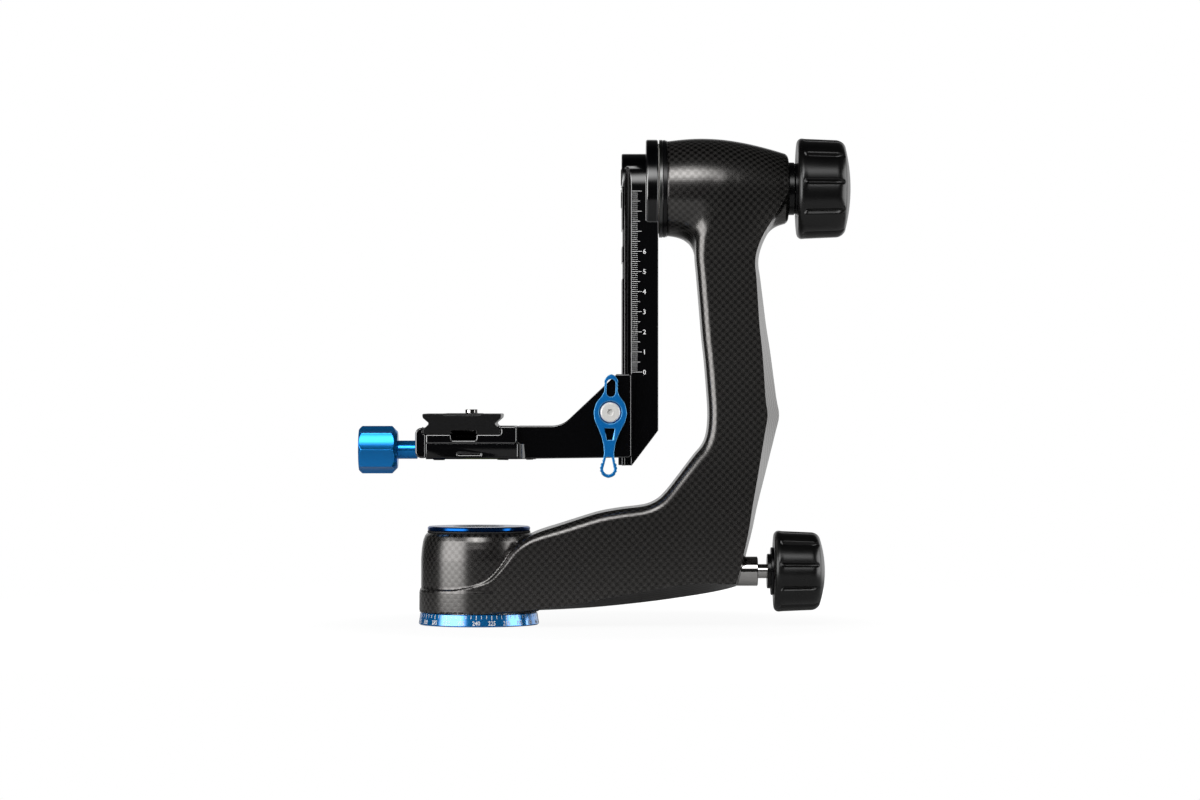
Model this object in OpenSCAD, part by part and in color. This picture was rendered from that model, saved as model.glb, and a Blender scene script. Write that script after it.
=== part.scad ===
// Gimbal tripod head: a carbon side arm carries a hanging swing with a sliding camera bracket.
// Millimetres. Origin at the centre of the foot's underside, on the pan axis. +Z up, +X towards the arm.

/* [Pan base] */
// Radius of the degree dial at its foot
dial_foot_r = 30.1; // [29.8:0.1:36]
// Radius of the degree dial at its top edge
dial_top_r = 29.3; // [28:0.1:36]
// Height of the degree dial
dial_h = 6.1; // [5.6:0.1:8]
// Bore radius of the tripod thread
socket_r = 4.8; // [3.1:0.05:5.4]
// Depth of the tripod thread
socket_depth = 14; // [10:0.5:16]
// Outer radius of the tripod bush
bush_r = 7.6; // [7:0.1:8.2]
// Radius of the pan spindle where the bearings sit
spindle_r = 10; // [9.6:0.1:10.6]
// Radius of the spindle's flange on the dial
spindle_flange_r = 22; // [20:0.5:23.5]
// Thickness of the spindle's flange
spindle_flange_h = 3; // [2:0.1:3.5]
// Number of screws that hold the dial
dial_screw_count = 4; // [3:1:6]
// Radial width of the rubber foot ring
pad_w = 9; // [4:0.5:10]
// Thickness of the rubber foot ring
pad_h = 1.2; // [0.6:0.1:2]

/* [Bearings] */
// Width of each ball bearing
bearing_w = 7; // [6:0.5:7.5]
// Radial height of each ball bearing, from bore to rim
bearing_t = 6; // [5.6:0.1:6.2]
// Radius of the bearing balls
ball_r = 1.6; // [1.2:0.1:1.8]
// Number of balls in each bearing
ball_count = 12; // [8:1:14]

/* [Arm] */
// Radius of the pan hub's lower band
hub_band_r = 29.5; // [28.8:0.1:32]
// Radius of the pan hub above the band
hub_r = 29; // [28:0.1:31]
// Height of the pan hub's top above the foot
hub_top_z = 46.2; // [45.8:0.1:49]
// Height of the crease above the lower band
band_top_z = 17.4; // [14:0.1:22]
// Outer radius of the bearing sleeves
sleeve_r = 19; // [18.6:0.1:19.6]
// Rounding between the arm's front face and its inner edge
arm_round = 5; // [2:0.5:7]
// Radius of the blue cap on the pan hub
cap_r = 25.7; // [22:0.1:26.5]
// Thickness of the blue cap
cap_h = 2.3; // [1.5:0.1:4]

/* [Tilt hub] */
// Height of the tilt axis above the foot
tilt_z = 218.3; // [214:0.1:224]
// Largest radius of the tilt hub
tilt_hub_r = 25.1; // [24.5:0.1:27]
// Radius of the tilt hub's knob end
tilt_end_r = 16.2; // [15:0.1:18]
// Length of the tilt hub along its axis
tilt_hub_l = 60.7; // [59:0.1:64]
// Distance between the two tilt bearings
tilt_bearing_gap = 27; // [22:0.5:28]
// Radius of the silver trim ring
trim_r = 24.5; // [22:0.1:26]
// Radius of the tilt shaft's flange
shaft_flange_r = 14; // [12.8:0.1:15]

/* [Lock knobs] */
// Radius of the tilt knob
tilt_knob_r = 25.2; // [18:0.1:30]
// Length of the tilt knob's grip
tilt_knob_l = 26.9; // [20:0.1:36]
// Radius of the pan knob
pan_knob_r = 20.3; // [15:0.1:22]
// Length of the pan knob's grip
pan_knob_l = 25.7; // [20:0.1:36]
// Number of lobes on each knob
lobe_count = 10; // [6:1:14]
// Radius of the grooves between the lobes
lobe_groove_r = 1.5; // [0.8:0.1:2.2]
// Height of the pan lock's axis above the foot
lock_z = 26.6; // [25.5:0.1:27.6]
// Radius of the pan lock's polished bushing
bushing_r = 7.35; // [6:0.05:9]
// Distance from the pan axis to the end of the polished bushing
bushing_x1 = 139.7; // [138:0.1:144]
// Length of the polished bushing
bushing_l = 19.7; // [17:0.1:22]
// Radius of the pan lock's screw
pan_stud_r = 3.55; // [2.5:0.05:4.2]
// Radius of the tilt lock's screw
tilt_stud_r = 4; // [3:0.05:5]
// Radius of the black neck behind the tilt knob
neck_r = 13.2; // [11:0.1:15]

/* [Swing rail] */
// Width of the rail, front to back
rail_w = 35; // [30:0.5:40]
// Position of the rail's outer face along X
rail_x0 = 71.5; // [71:0.1:72.5]
// Thickness of the rail along X
rail_t = 18.2; // [16:0.1:18.2]
// Height of the rail's lower end above the foot
rail_bottom_z = 79.8; // [77:0.1:82]
// Radius of the rail's round flange
flange_r = 24.6; // [22:0.1:25]
// Thickness of the rail's round flange
flange_t = 6; // [4:0.1:8]
// Depth of the side grooves
groove_d = 3; // [2:0.1:3.6]
// Number of screws through the flange
flange_screw_count = 4; // [3:1:6]

/* [Bracket] */
// Height of the bracket's clamp on the rail
clamp_h = 41.1; // [34:0.1:46]
// Half depth of the bracket's clamp, front to back
clamp_half = 25.2; // [23:0.1:25.2]
// Half depth of the camera platform
platform_half = 30; // [26:0.5:36]
// Thickness of the camera platform
platform_t = 7.7; // [7.2:0.1:9]
// Height of the lever's pivot above the clamp's foot
pivot_h = 22.2; // [18:0.1:24]
// Length of the lever below its pivot
lever_low = 32.5; // [26:0.1:36]
// Length of the lever above its pivot
lever_high = 18.9; // [15:0.1:22]
// Radius of the lever's hub
lever_hub_r = 8.25; // [7:0.05:9.5]
// Thickness of the lever
lever_t = 3; // [2:0.1:4]
// Radius of the lever's screw head
lever_head_r = 5; // [4:0.1:5.4]
// Radius of the lever's screw
lever_screw_r = 3; // [2:0.05:3.4]

/* [Quick release] */
// Thickness of the clamp's floor
clamp_floor_t = 4.7; // [4:0.1:6]
// Radius of the clamp knob
clamp_knob_r = 11.9; // [8:0.1:14]
// Length of the clamp knob
clamp_knob_l = 19.5; // [12:0.1:26]
// Number of flutes on the clamp knob
flute_count = 8; // [6:1:14]
// Radius of the clamp screw
clamp_screw_r = 2.5; // [1.8:0.05:2.6]
// Width of the camera plate's dovetail
dovetail_w = 38.1; // [36:0.1:39]
// How far the camera plate reaches past the platform at each end
plate_reach = 0; // [-4:0.5:8]
// Radius of the camera screw
camera_screw_r = 3.15; // [3:0.05:4.8]

/* [Fits] */
// Running clearance of shafts and screws in their bores
running = 0.07; // [0.03:0.01:0.1]
// Gap between parts that slide or turn past each other
gap = 0.3; // [0.2:0.05:0.4]

/* [Hidden] */
$fn = 48;

// Small constants shared by every cut
EPS = 0.02;      // overshoot of a cut past a face
BIG = 400;       // longer than the whole head
CHAMFER = 0.5;   // edge break on turned parts
SEAT = 0.05;     // gap that keeps two seated faces apart

// Stack of the pan bearing, from the dial up
hub_bottom_z = dial_h + gap;
flange_top_z = dial_h + spindle_flange_h;
lower_bearing_z = flange_top_z + 1.9;
upper_bearing_z = hub_top_z - 11.2;
sleeve_bottom_z = lower_bearing_z - 0.4;
sleeve_top_z = hub_top_z - 2.7;
nut_z = upper_bearing_z + bearing_w;
nut_h = 3.6;
bearing_rim = spindle_r + bearing_t;
ball_pitch = spindle_r + bearing_t / 2;
race_t = bearing_t * 0.37;
drum_r = spindle_r + 2.6;
seal_z = hub_top_z;
seal_h = 0.7;
cap_z = seal_z + seal_h;
level_r = 13;
level_z = hub_top_z - 0.2;

// Stack of the tilt hub, from the rail to the knob
rail_x1 = rail_x0 + rail_t;
washer_t = 0.55;
trim_x = rail_x1 + washer_t + SEAT;
trim_t = 1.7;
ring_x = trim_x + trim_t;
ring_t = 2.3;
hub_x0 = ring_x + ring_t;
hub_x1 = hub_x0 + tilt_hub_l;
left_bearing_x = hub_x0 + 2.7;
right_bearing_x = left_bearing_x + tilt_bearing_gap;
sleeve_x1 = right_bearing_x + bearing_w + 3;
retainer_t = 2;
shaft_end_x = right_bearing_x + bearing_w + retainer_t + 0.2;
pad_x = shaft_end_x + 0.15;
brake_pad_t = 1.6;
pressure_x = pad_x + brake_pad_t;
pressure_t = 4;
pressure_bore_x1 = pressure_x + pressure_t + 3;
neck_x1 = hub_x1 + 3;
tilt_core_x0 = neck_x1 + 0.2;
tilt_grip_x0 = neck_x1 + 1.3;

// Pan lock, from the drum to the knob
shoe_x0 = drum_r + 0.1;
shoe_x1 = sleeve_r + 2;
rod_r = 3;
tunnel_r = 4.7;
bushing_x0 = bushing_x1 - bushing_l;
rod_x1 = bushing_x0 - 2;
collar_x0 = bushing_x1 + 4.7;
collar_r = bushing_r + 1.35;
disc_x0 = collar_x0 + 1.8;
disc_x1 = disc_x0 + 1.5;

// Cores inside the two rubber grips
pan_core_r = 11;
pan_core_l = 17.5;
tilt_core_r = neck_r + 0.8;
tilt_core_l = 18.5;
core_room = 0.5;
stud_grip = 12;

// Rail and its clamp
rail_half = rail_w / 2;
notch_x0 = rail_x0 + 1.5;
notch_x1 = notch_x0 + 3.2;
stop_l = 4.2;
clamp_x1 = notch_x1 - 0.1;
clamp_x0 = rail_x0 - 4.8;
clamp_z0 = rail_bottom_z + 4.3;
clamp_z1 = clamp_z0 + clamp_h;
pivot_x = rail_x0 - 5.7;
pivot_z = clamp_z0 + pivot_h;
slide_gap = 0.1;
jaw_x0 = rail_x0 - 12;
lever_y = -clamp_half - 0.3;
// the bracket's flat top, and the slope with a round foot that rises from it to the clamp
bracket_top_z = clamp_z0 + 15.4;
slope_a = 43.3;
slope_r = 13;
slope_x1 = clamp_x0 + 2.2;
slope_cx = slope_x1 - (slope_r + (clamp_z1 - bracket_top_z - slope_r) * cos(slope_a)) / sin(slope_a);
lever_lean = -1.8;

// Platform and quick-release clamp
platform_z0 = clamp_z0 - 1;
platform_z1 = platform_z0 + platform_t;
platform_x0 = -25.5;
platform_x1 = 19.5;
floor_z = platform_z1 + clamp_floor_t;
plate_x = -7.65;
plate_l = (platform_half + plate_reach) * 2;
plate_z0 = floor_z + slide_gap;
dove_half = dovetail_w / 2;
dove_in = 2.5;
flank_z = plate_z0 + 2.2;
neck_z0 = flank_z + dove_in;
neck_z1 = neck_z0 + 0.9;
plate_top_z = neck_z1 + 4.4;
clamp_axis_z = platform_z0 + 4.4;
jaw_outer_x = platform_x0 - 5.2;
jaw_round = 3.2;
flute_r = 20;
knob_edge = 1.6;
knob_cone = 2.8;
knob_x1 = jaw_outer_x - 9.9;
knob_x0 = knob_x1 - clamp_knob_l;
camera_x = plate_x + 3.95;
camera_neck_r = camera_screw_r - 0.75;
camera_head_z = plate_z0 + 3.5;
ring_z = camera_head_z - 1.7;
ring_r = 7.2;
pocket_half = 9.2;
screw_side = 3.2;
ring_room = 2.9;
back_web = 6;
screw_pocket_x1 = plate_x + 16;
scoop_r = 9;

// ---- shared shapes ----

// Turns children that stand on +Z so that they lie along +X
module along_x() {
  rotate([0, 90, 0]) children();
}

// Tube or disc about Z with chamfered rims
module ring(outer, inner, z0, z1, edge = CHAMFER) {
  rotate_extrude($fn = 96)
    polygon([
      [inner, z0], [outer - edge, z0], [outer, z0 + edge],
      [outer, z1 - edge], [outer - edge, z1], [inner, z1]
    ]);
}

// Tube or disc about the X direction through height z
module ring_x(outer, inner, x0, x1, z, edge = CHAMFER) {
  translate([0, 0, z]) along_x() ring(outer, inner, x0, x1, edge);
}

// Plain rod along X through height z
module rod_x(r, x0, x1, z, y = 0) {
  translate([x0, y, z]) along_x() cylinder(r = r, h = x1 - x0);
}

// Plain rod along Y
module rod_y(r, y0, y1, x, z) {
  translate([x, y0, z]) rotate([-90, 0, 0]) cylinder(r = r, h = y1 - y0);
}

// One race of a ball bearing, about Z, with its ball track
module race(r0, r1, z0) {
  difference() {
    ring(r1, r0, z0, z0 + bearing_w, 0.3);
    rotate_extrude($fn = 96) translate([ball_pitch, z0 + bearing_w / 2]) circle(r = ball_r + SEAT);
  }
}

module inner_race(z0) {
  race(spindle_r, spindle_r + race_t, z0);
}

module outer_race(z0) {
  race(bearing_rim - race_t, bearing_rim, z0);
}

// Balls of one bearing, about Z
module ball_set(z0) {
  for (i = [0 : ball_count - 1])
    rotate([0, 0, i * 360 / ball_count])
      translate([ball_pitch, 0, z0 + bearing_w / 2]) sphere(r = ball_r, $fn = 24);
}

// Countersunk screw about Z, head down at z = 0
module countersunk(r, head_r, l) {
  difference() {
    union() {
      cylinder(r1 = head_r, r2 = r, h = head_r - r);
      cylinder(r = r, h = l);
    }
    translate([0, 0, -EPS]) cylinder(r = r * 0.8, h = 1.2, $fn = 6);
  }
}

// Hole for a countersunk screw
module countersink(r, head_r, l) {
  translate([0, 0, -EPS]) cylinder(r = head_r + SEAT, h = EPS * 2);
  cylinder(r1 = head_r + SEAT, r2 = r + SEAT, h = head_r - r);
  cylinder(r = r + SEAT, h = l + SEAT);
}

// Points of an arc about (cx, cy)
function arc(cx, cy, r, a0, a1, n) = [for (i = [0 : n]) let (a = a0 + (a1 - a0) * i / n) [cx + r * cos(a), cy + r * sin(a)]];

// Catmull-Rom blend of four values
function blend(a, b, c, d, t) =
  0.5 * (2 * b + (c - a) * t + (2 * a - 5 * b + 4 * c - d) * t * t + (3 * b - a - 3 * c + d) * t * t * t);

// Fills in steps points between the rows of a table
function smooth_rows(rows, steps) =
  let (last = len(rows) - 1)
  [for (i = [0 : last - 1], k = [0 : steps - 1])
    blend(rows[max(i - 1, 0)], rows[i], rows[i + 1], rows[min(i + 2, last)], k / steps),
    rows[last]];

// ---- pan base ----

module base_dial() {
  pad_r1 = dial_foot_r - 2;
  color("royalblue") difference() {
    rotate_extrude($fn = 120)
      polygon([
        [bush_r, 0], [dial_foot_r - 0.6, 0], [dial_foot_r, 0.6],
        [dial_top_r, dial_h - 0.3], [dial_top_r - 0.3, dial_h], [bush_r, dial_h]
      ]);
    translate([0, 0, -EPS]) ring(pad_r1 + SEAT, pad_r1 - pad_w - SEAT, 0, pad_h + EPS + SEAT, 0);
    dial_screw_places() countersink(1.5, 2.8, BIG);
  }
}

module dial_screw_places() {
  for (i = [0 : dial_screw_count - 1])
    rotate([0, 0, 45 + i * 360 / dial_screw_count]) translate([(bush_r + spindle_flange_r) / 2 - 1.2, 0, 0]) children();
}

module base_pad() {
  pad_r1 = dial_foot_r - 2;
  color("dimgray") ring(pad_r1, pad_r1 - pad_w, 0, pad_h, 0.2);
}

module tripod_bush() {
  color("silver") difference() {
    ring(bush_r, 0, 0, socket_depth + 1.5, 0.3);
    translate([0, 0, -EPS]) cylinder(r = socket_r, h = socket_depth + EPS);
  }
}

module pan_spindle() {
  color("silver") difference() {
    rotate_extrude($fn = 96)
      polygon([
        [bush_r, dial_h], [spindle_flange_r, dial_h], [spindle_flange_r, flange_top_z - 0.3],
        [spindle_flange_r - 0.3, flange_top_z], [spindle_r + 2, flange_top_z],
        [spindle_r + 2, lower_bearing_z], [spindle_r, lower_bearing_z],
        [spindle_r, nut_z + nut_h], [bush_r - 2, nut_z + nut_h], [bush_r - 2, socket_depth + 1.5], [bush_r, socket_depth + 1.5]
      ]);
    dial_screw_places() cylinder(r = 1.5 + SEAT, h = flange_top_z - 0.6);
  }
}

module dial_screws() {
  color("gray") dial_screw_places() translate([0, 0, 0.1]) countersunk(1.5, 2.7, flange_top_z - 1);
}

module pan_lower_inner_race() {
  color("lightgray") inner_race(lower_bearing_z);
}

module pan_upper_inner_race() {
  color("lightgray") inner_race(upper_bearing_z);
}

module pan_drum() {
  color("slategray") ring(drum_r, spindle_r, lower_bearing_z + bearing_w, upper_bearing_z, 0.3);
}

module spindle_nut() {
  color("gray") difference() {
    ring(spindle_r + 3.4, spindle_r, nut_z, nut_z + nut_h - 0.3, 0.3);
    for (i = [0 : 3])
      rotate([0, 0, i * 90 + 45]) translate([spindle_r + 3.4, 0, nut_z + nut_h - 1]) cube([3, 3, 4], center = true);
  }
}

// ---- arm ----

// Stations along the arm. Each row: inner x, inner z, outer x, outer z, half depth, inner rounding,
// width of the outer facet. The first rows lie in the pan hub and the last in the tilt hub.
foot_z = hub_bottom_z;
ARM_ROWS = [
  [-8,    band_top_z - 1.0,  -8,    foot_z + 0.7,  26.6, 0.4, 0.3],
  [-1,    band_top_z + 1.4,  -1,    foot_z + 0.6,  28.2, 0.6, 0.3],
  [6,     band_top_z + 5.8,  6.5,   foot_z + 0.5,  29.3, 0.8, 0.4],
  [12.5,  band_top_z + 13.0, 13.5,  foot_z + 0.4,  29.4, 1.4, 0.6],
  [18.5,  band_top_z + 22.0, 20,    foot_z + 0.4,  29.0, 2.2, 0.9],
  [26,    band_top_z + 27.6, 28,    foot_z + 0.7,  28.3, 3.0, 1.7],
  [41,    50.0,              43,    7.6,           26.8, 3.4, 3.0],
  [60,    55.7,              61,    8.9,           25.0, 3.6, 5.0],
  [79,    59.2,              84,    11.3,          23.5, 4.0, 6.5],
  [88.8,  62.3,              103,   13.9,          22.7, 4.5, 7.0],
  [94.8,  68.0,              119,   16.8,          22.2, 5.0, 5.5],
  [99.8,  74.3,              129.4, 19.6,          22.0, 5.0, 2.5],
  [104.3, 80.3,              133.9, 35.2,          22.0, 5.0, 2.0],
  [108.8, 86.4,              139.4, 59.3,          22.0, 5.0, 3.0],
  [112.6, 91.5,              144.8, 80.5,          21.8, 5.0, 4.6],
  [114.6, 99.0,              148.8, 97.0,          21.5, 5.0, 6.0],
  [114.9, 106.0,             150.4, 105.0,         21.3, 5.0, 6.5],
  [114.4, 115.0,             148.8, 115.0,         21.0, 5.0, 6.0],
  [112.6, 136.0,             146.0, 137.0,         20.8, 5.0, 4.6],
  [110.6, tilt_z - 60.3,     142.8, tilt_z - 59.3, 20.8, 5.0, 3.4],
  [109.2, tilt_z - 40.3,     140.1, tilt_z - 40.3, 21.2, 5.0, 2.4],
  [107.6, tilt_z - 32.3,     140.6, tilt_z - 31.3, 21.8, 5.0, 2.0],
  [103.5, tilt_z - 26.8,     143.2, tilt_z - 23.8, 22.4, 5.0, 2.0],
  [99.5,  tilt_z - 21.3,     147.4, tilt_z - 17.8, 21.6, 4.0, 2.0],
  [98.5,  tilt_z - 11.3,     151.4, tilt_z - 10.8, 18.6, 3.0, 1.6],
  [100,   tilt_z - 1.3,      150.0, tilt_z - 1.3,  14.0, 2.0, 1.0]
];
ARM_STEPS = 3;
SPINE_HALF = 3;

// Outline of one station: inner rounding, flat front face, outer facet and spine, then the mirror
function arm_ring(row) =
  let (
    p = [row[0], row[1]],
    q = [row[2], row[3]],
    d = norm(q - p),
    u = (q - p) / d,
    h = row[4],
    r = min(row[5], arm_round),
    f = row[6],
    half = [
      for (a = [0 : 22.5 : 90]) [r * (1 - cos(a)), h - r + r * sin(a)],
      [d - f, h],
      [d, min(SPINE_HALF, h)]
    ],
    n = len(half)
  )
  [
    for (k = [0 : n - 1]) let (s = half[k]) [p[0] + u[0] * s[0], -s[1], p[1] + u[1] * s[0]],
    for (k = [n - 1 : -1 : 0]) let (s = half[k]) [p[0] + u[0] * s[0], s[1], p[1] + u[1] * s[0]]
  ];

// Solid skinned through a list of rings with the same number of points
module skin(rings) {
  n = len(rings[0]);
  m = len(rings);
  points = [for (r = rings, p = r) p];
  sides = [
    for (i = [0 : m - 2], k = [0 : n - 1]) let (k2 = (k + 1) % n, a = i * n + k, b = i * n + k2)
      each [[a, a + n, b + n], [a, b + n, b]]
  ];
  first = [for (k = [0 : n - 1]) k];
  last = [for (k = [n - 1 : -1 : 0]) (m - 1) * n + k];
  polyhedron(points = points, faces = concat(sides, [first, last]), convexity = 8);
}

module arm_loft() {
  skin([for (row = smooth_rows(ARM_ROWS, ARM_STEPS)) arm_ring(row)]);
}

module pan_barrel() {
  rotate_extrude($fn = 120)
    polygon([
      [0, hub_bottom_z], [hub_band_r - 0.5, hub_bottom_z], [hub_band_r, hub_bottom_z + 0.5],
      [hub_band_r, band_top_z], [hub_r, band_top_z + 0.9], [hub_r, hub_top_z - 13],
      [hub_r - 0.4, hub_top_z - 8], [hub_r - 1.1, hub_top_z - 4], [hub_r - 1.9, hub_top_z - 1.6],
      [hub_r - 3, hub_top_z - 0.3], [hub_r - 3.8, hub_top_z], [0, hub_top_z]
    ]);
}

module tilt_barrel() {
  span = hub_x1 - hub_x0;
  translate([0, 0, tilt_z]) along_x() rotate_extrude($fn = 120)
    polygon([
      [0, hub_x0], [tilt_hub_r - 1.3, hub_x0], [tilt_hub_r - 0.4, hub_x0 + span * 0.14],
      [tilt_hub_r, hub_x0 + span * 0.28], [tilt_hub_r - 0.5, hub_x0 + span * 0.45],
      [tilt_hub_r - 2, hub_x0 + span * 0.62], [tilt_hub_r - 4.3, hub_x0 + span * 0.79],
      [tilt_end_r + 1.2, hub_x1 - 2], [tilt_end_r, hub_x1 - 0.7], [tilt_end_r - 1.2, hub_x1], [0, hub_x1]
    ]);
}

module arm_shell() {
  color("dimgray") difference() {
    union() {
      pan_barrel();
      tilt_barrel();
      arm_loft();
    }
    translate([0, 0, hub_bottom_z - EPS]) cylinder(r = spindle_flange_r + 1.6, h = flange_top_z - hub_bottom_z + 0.9);
    translate([0, 0, hub_bottom_z - EPS]) cylinder(r = sleeve_r, h = BIG);
    rod_x(tunnel_r, 0, bushing_x0 + 1, lock_z);
    rod_x(bushing_r, bushing_x0, BIG, lock_z);
    rod_x(sleeve_r, hub_x0 - EPS, sleeve_x1, tilt_z);
    rod_x(shaft_flange_r, sleeve_x1 - EPS, pressure_bore_x1, tilt_z);
    rod_x(neck_r - 3, pressure_bore_x1 - EPS, BIG, tilt_z);
    level_relief();
  }
}

// Clears the flat top of the hub where the slab would rise through it
module level_relief() {
  translate([0, 0, hub_top_z]) cylinder(r = hub_r - 3.2, h = 12, $fn = 120);
}

module pan_sleeve() {
  color("silver") difference() {
    rotate_extrude($fn = 96)
      polygon([
        [bearing_rim, sleeve_bottom_z], [sleeve_r, sleeve_bottom_z], [sleeve_r, sleeve_top_z], [bearing_rim, sleeve_top_z],
        [bearing_rim, upper_bearing_z], [bearing_rim - 1.4, upper_bearing_z],
        [bearing_rim - 1.4, lower_bearing_z + bearing_w], [bearing_rim, lower_bearing_z + bearing_w]
      ]);
    rod_x(tunnel_r, 0, BIG, lock_z);
  }
}

module pan_lower_outer_race() {
  color("lightgray") outer_race(lower_bearing_z);
}

module pan_upper_outer_race() {
  color("lightgray") outer_race(upper_bearing_z);
}

module pan_balls() {
  color("white") {
    ball_set(lower_bearing_z);
    ball_set(upper_bearing_z);
  }
}

module cap_seal() {
  color("black") ring(cap_r + 0.1, sleeve_r + 0.2, seal_z, seal_z + seal_h, 0.1);
}

module cap_ring() {
  color("royalblue") union() {
    ring(cap_r, level_r, cap_z, cap_z + cap_h, 0.6);
    ring(sleeve_r - 0.1, sleeve_r - 3, sleeve_top_z + SEAT, cap_z + 0.5, 0.2);
  }
}

module level_cup() {
  color("black") difference() {
    ring(level_r, 0, level_z, cap_z + cap_h, 0.2);
    translate([0, 0, level_z + 0.8]) cylinder(r = level_r - 2.4, h = BIG);
  }
}

module level_vial() {
  color("yellowgreen") ring(level_r - 2.5, 0, level_z + 0.8, cap_z + cap_h - 0.3, 0.5);
}

module lock_bushing() {
  color("silver") difference() {
    ring_x(bushing_r, 0, bushing_x0, bushing_x1, lock_z, 0.3);
    rod_x(pan_stud_r + running, 0, BIG, lock_z);
  }
}

module tilt_sleeve() {
  mid_r = bearing_rim - 1.4;
  color("silver") translate([0, 0, tilt_z]) along_x() rotate_extrude($fn = 96)
    polygon([
      [bearing_rim, hub_x0], [sleeve_r, hub_x0], [sleeve_r, sleeve_x1], [bearing_rim, sleeve_x1],
      [bearing_rim, right_bearing_x], [mid_r, right_bearing_x],
      [mid_r, left_bearing_x + bearing_w], [bearing_rim, left_bearing_x + bearing_w]
    ]);
}

// Puts a part drawn about Z on the tilt axis
module on_tilt_axis() {
  translate([0, 0, tilt_z]) along_x() children();
}

module tilt_left_outer_race() {
  color("lightgray") on_tilt_axis() outer_race(left_bearing_x);
}

module tilt_right_outer_race() {
  color("lightgray") on_tilt_axis() outer_race(right_bearing_x);
}

module tilt_balls() {
  color("white") on_tilt_axis() {
    ball_set(left_bearing_x);
    ball_set(right_bearing_x);
  }
}

module trim_ring() {
  color("silver") ring_x(trim_r, shaft_flange_r + gap, trim_x, trim_x + trim_t, tilt_z, 0.2);
}

module hub_ring() {
  color("black") difference() {
    ring_x(trim_r - 0.1, shaft_flange_r + gap, ring_x, ring_x + ring_t, tilt_z, 0.3);
    on_tilt_axis() rotate_extrude($fn = 96) translate([trim_r, ring_x + ring_t - 0.5]) square([1, 0.6], center = true);
  }
}

module tilt_neck() {
  color("black") difference() {
    union() {
      ring_x(neck_r, 0, hub_x1, neck_x1, tilt_z, 0.3);
      rod_x(neck_r - 3, pressure_bore_x1, hub_x1 + 1, tilt_z);
    }
    rod_x(tilt_stud_r + running, 0, BIG, tilt_z);
  }
}

// ---- pan lock ----

module pan_push_rod() {
  color("silver") ring_x(rod_r, 0, shoe_x1, rod_x1, lock_z, 0.3);
}

module pan_brake_shoe() {
  color("darkgoldenrod") difference() {
    rod_x(tunnel_r - 0.2, shoe_x0 - 2, shoe_x1, lock_z);
    cylinder(r = shoe_x0, h = BIG);
  }
}

// Rubber knob about Z with rounded shoulders and narrow grooves between its lobes
module lobed_grip(r, l, bore_r, bore_l, shoulder) {
  taper = l * 0.026;
  difference() {
    rotate_extrude($fn = 120)
      polygon(concat(
        [[bore_r, 0]],
        arc(r - 2.5, 2.5, 2.5, -90, 0, 4),
        arc(r - taper - shoulder, l - 2.2 - shoulder, shoulder, 0, 60, 4),
        [[(r - shoulder) * 0.6, l - 0.4], [0, l], [0, bore_l], [bore_r, bore_l]]
      ));
    for (i = [0 : lobe_count - 1])
      rotate([0, 0, i * 360 / lobe_count + 6]) translate([r - 0.2, 0, 3.2]) rotate([0, -1.5, 0])
        cylinder(r = lobe_groove_r, h = l - 6.5, $fn = 16);
  }
}

module pan_knob_grip() {
  color("black") translate([disc_x1, 0, lock_z]) along_x() lobed_grip(pan_knob_r, pan_knob_l, pan_core_r, pan_core_l + core_room, 5);
}

module pan_knob_core() {
  color("black") difference() {
    union() {
      ring_x(collar_r, 0, collar_x0, disc_x0 + 0.5, lock_z, 0.3);
      ring_x(pan_core_r + 1, 0, disc_x0, disc_x1 - SEAT, lock_z, 0.3);
      ring_x(pan_core_r - SEAT, 0, disc_x1 - 0.5, disc_x1 + pan_core_l, lock_z, 0.3);
    }
    rod_x(pan_stud_r, 0, disc_x1 + stud_grip, lock_z);
  }
}

module pan_knob_stud() {
  color("silver") ring_x(pan_stud_r, 0, rod_x1 + SEAT, disc_x1 + stud_grip, lock_z, 0.3);
}

// ---- tilt lock ----

module tilt_pressure_plate() {
  color("silver") ring_x(shaft_flange_r - 1, 0, pressure_x, pressure_x + pressure_t, tilt_z, 0.3);
}

module tilt_brake_pad() {
  color("saddlebrown") ring_x(spindle_r - 0.5, 0, pad_x, pressure_x, tilt_z, 0.1);
}

module tilt_knob_grip() {
  color("black") translate([tilt_grip_x0, 0, tilt_z]) along_x() lobed_grip(tilt_knob_r, tilt_knob_l, tilt_core_r, tilt_core_l + core_room, 5.5);
}

module tilt_knob_core() {
  color("black") difference() {
    union() {
      ring_x(neck_r - 0.4, 0, tilt_core_x0, tilt_grip_x0 + 0.5, tilt_z, 0.3);
      ring_x(tilt_core_r - SEAT, 0, tilt_grip_x0, tilt_grip_x0 + tilt_core_l, tilt_z, 0.3);
    }
    rod_x(tilt_stud_r, 0, tilt_grip_x0 + stud_grip, tilt_z);
  }
}

module tilt_knob_stud() {
  color("silver") ring_x(tilt_stud_r, 0, pressure_x + pressure_t + SEAT, tilt_grip_x0 + stud_grip, tilt_z, 0.3);
}

// ---- swing ----

// Side view of the rail's bar: square foot, slanted corner, right face flush with the flange
module rail_side() {
  rotate([90, 0, 0]) linear_extrude(height = rail_w, center = true)
    polygon([
      [rail_x0, rail_bottom_z], [rail_x0 + 5, rail_bottom_z], [rail_x1, rail_bottom_z + 17.4],
      [rail_x1, tilt_z - 12], [rail_x1 - flange_t, tilt_z - 12], [rail_x1 - flange_t, tilt_z], [rail_x0, tilt_z]
    ]);
}

module rail_grooves() {
  for (side = [-1, 1])
    scale([1, side, 1]) translate([0, 0, rail_bottom_z - 1]) linear_extrude(height = BIG)
      polygon([
        [notch_x0, rail_half + EPS], [notch_x1, rail_half + EPS],
        [(notch_x0 + notch_x1) / 2 + 0.4, rail_half - groove_d], [(notch_x0 + notch_x1) / 2 - 0.4, rail_half - groove_d]
      ]);
}

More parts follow.
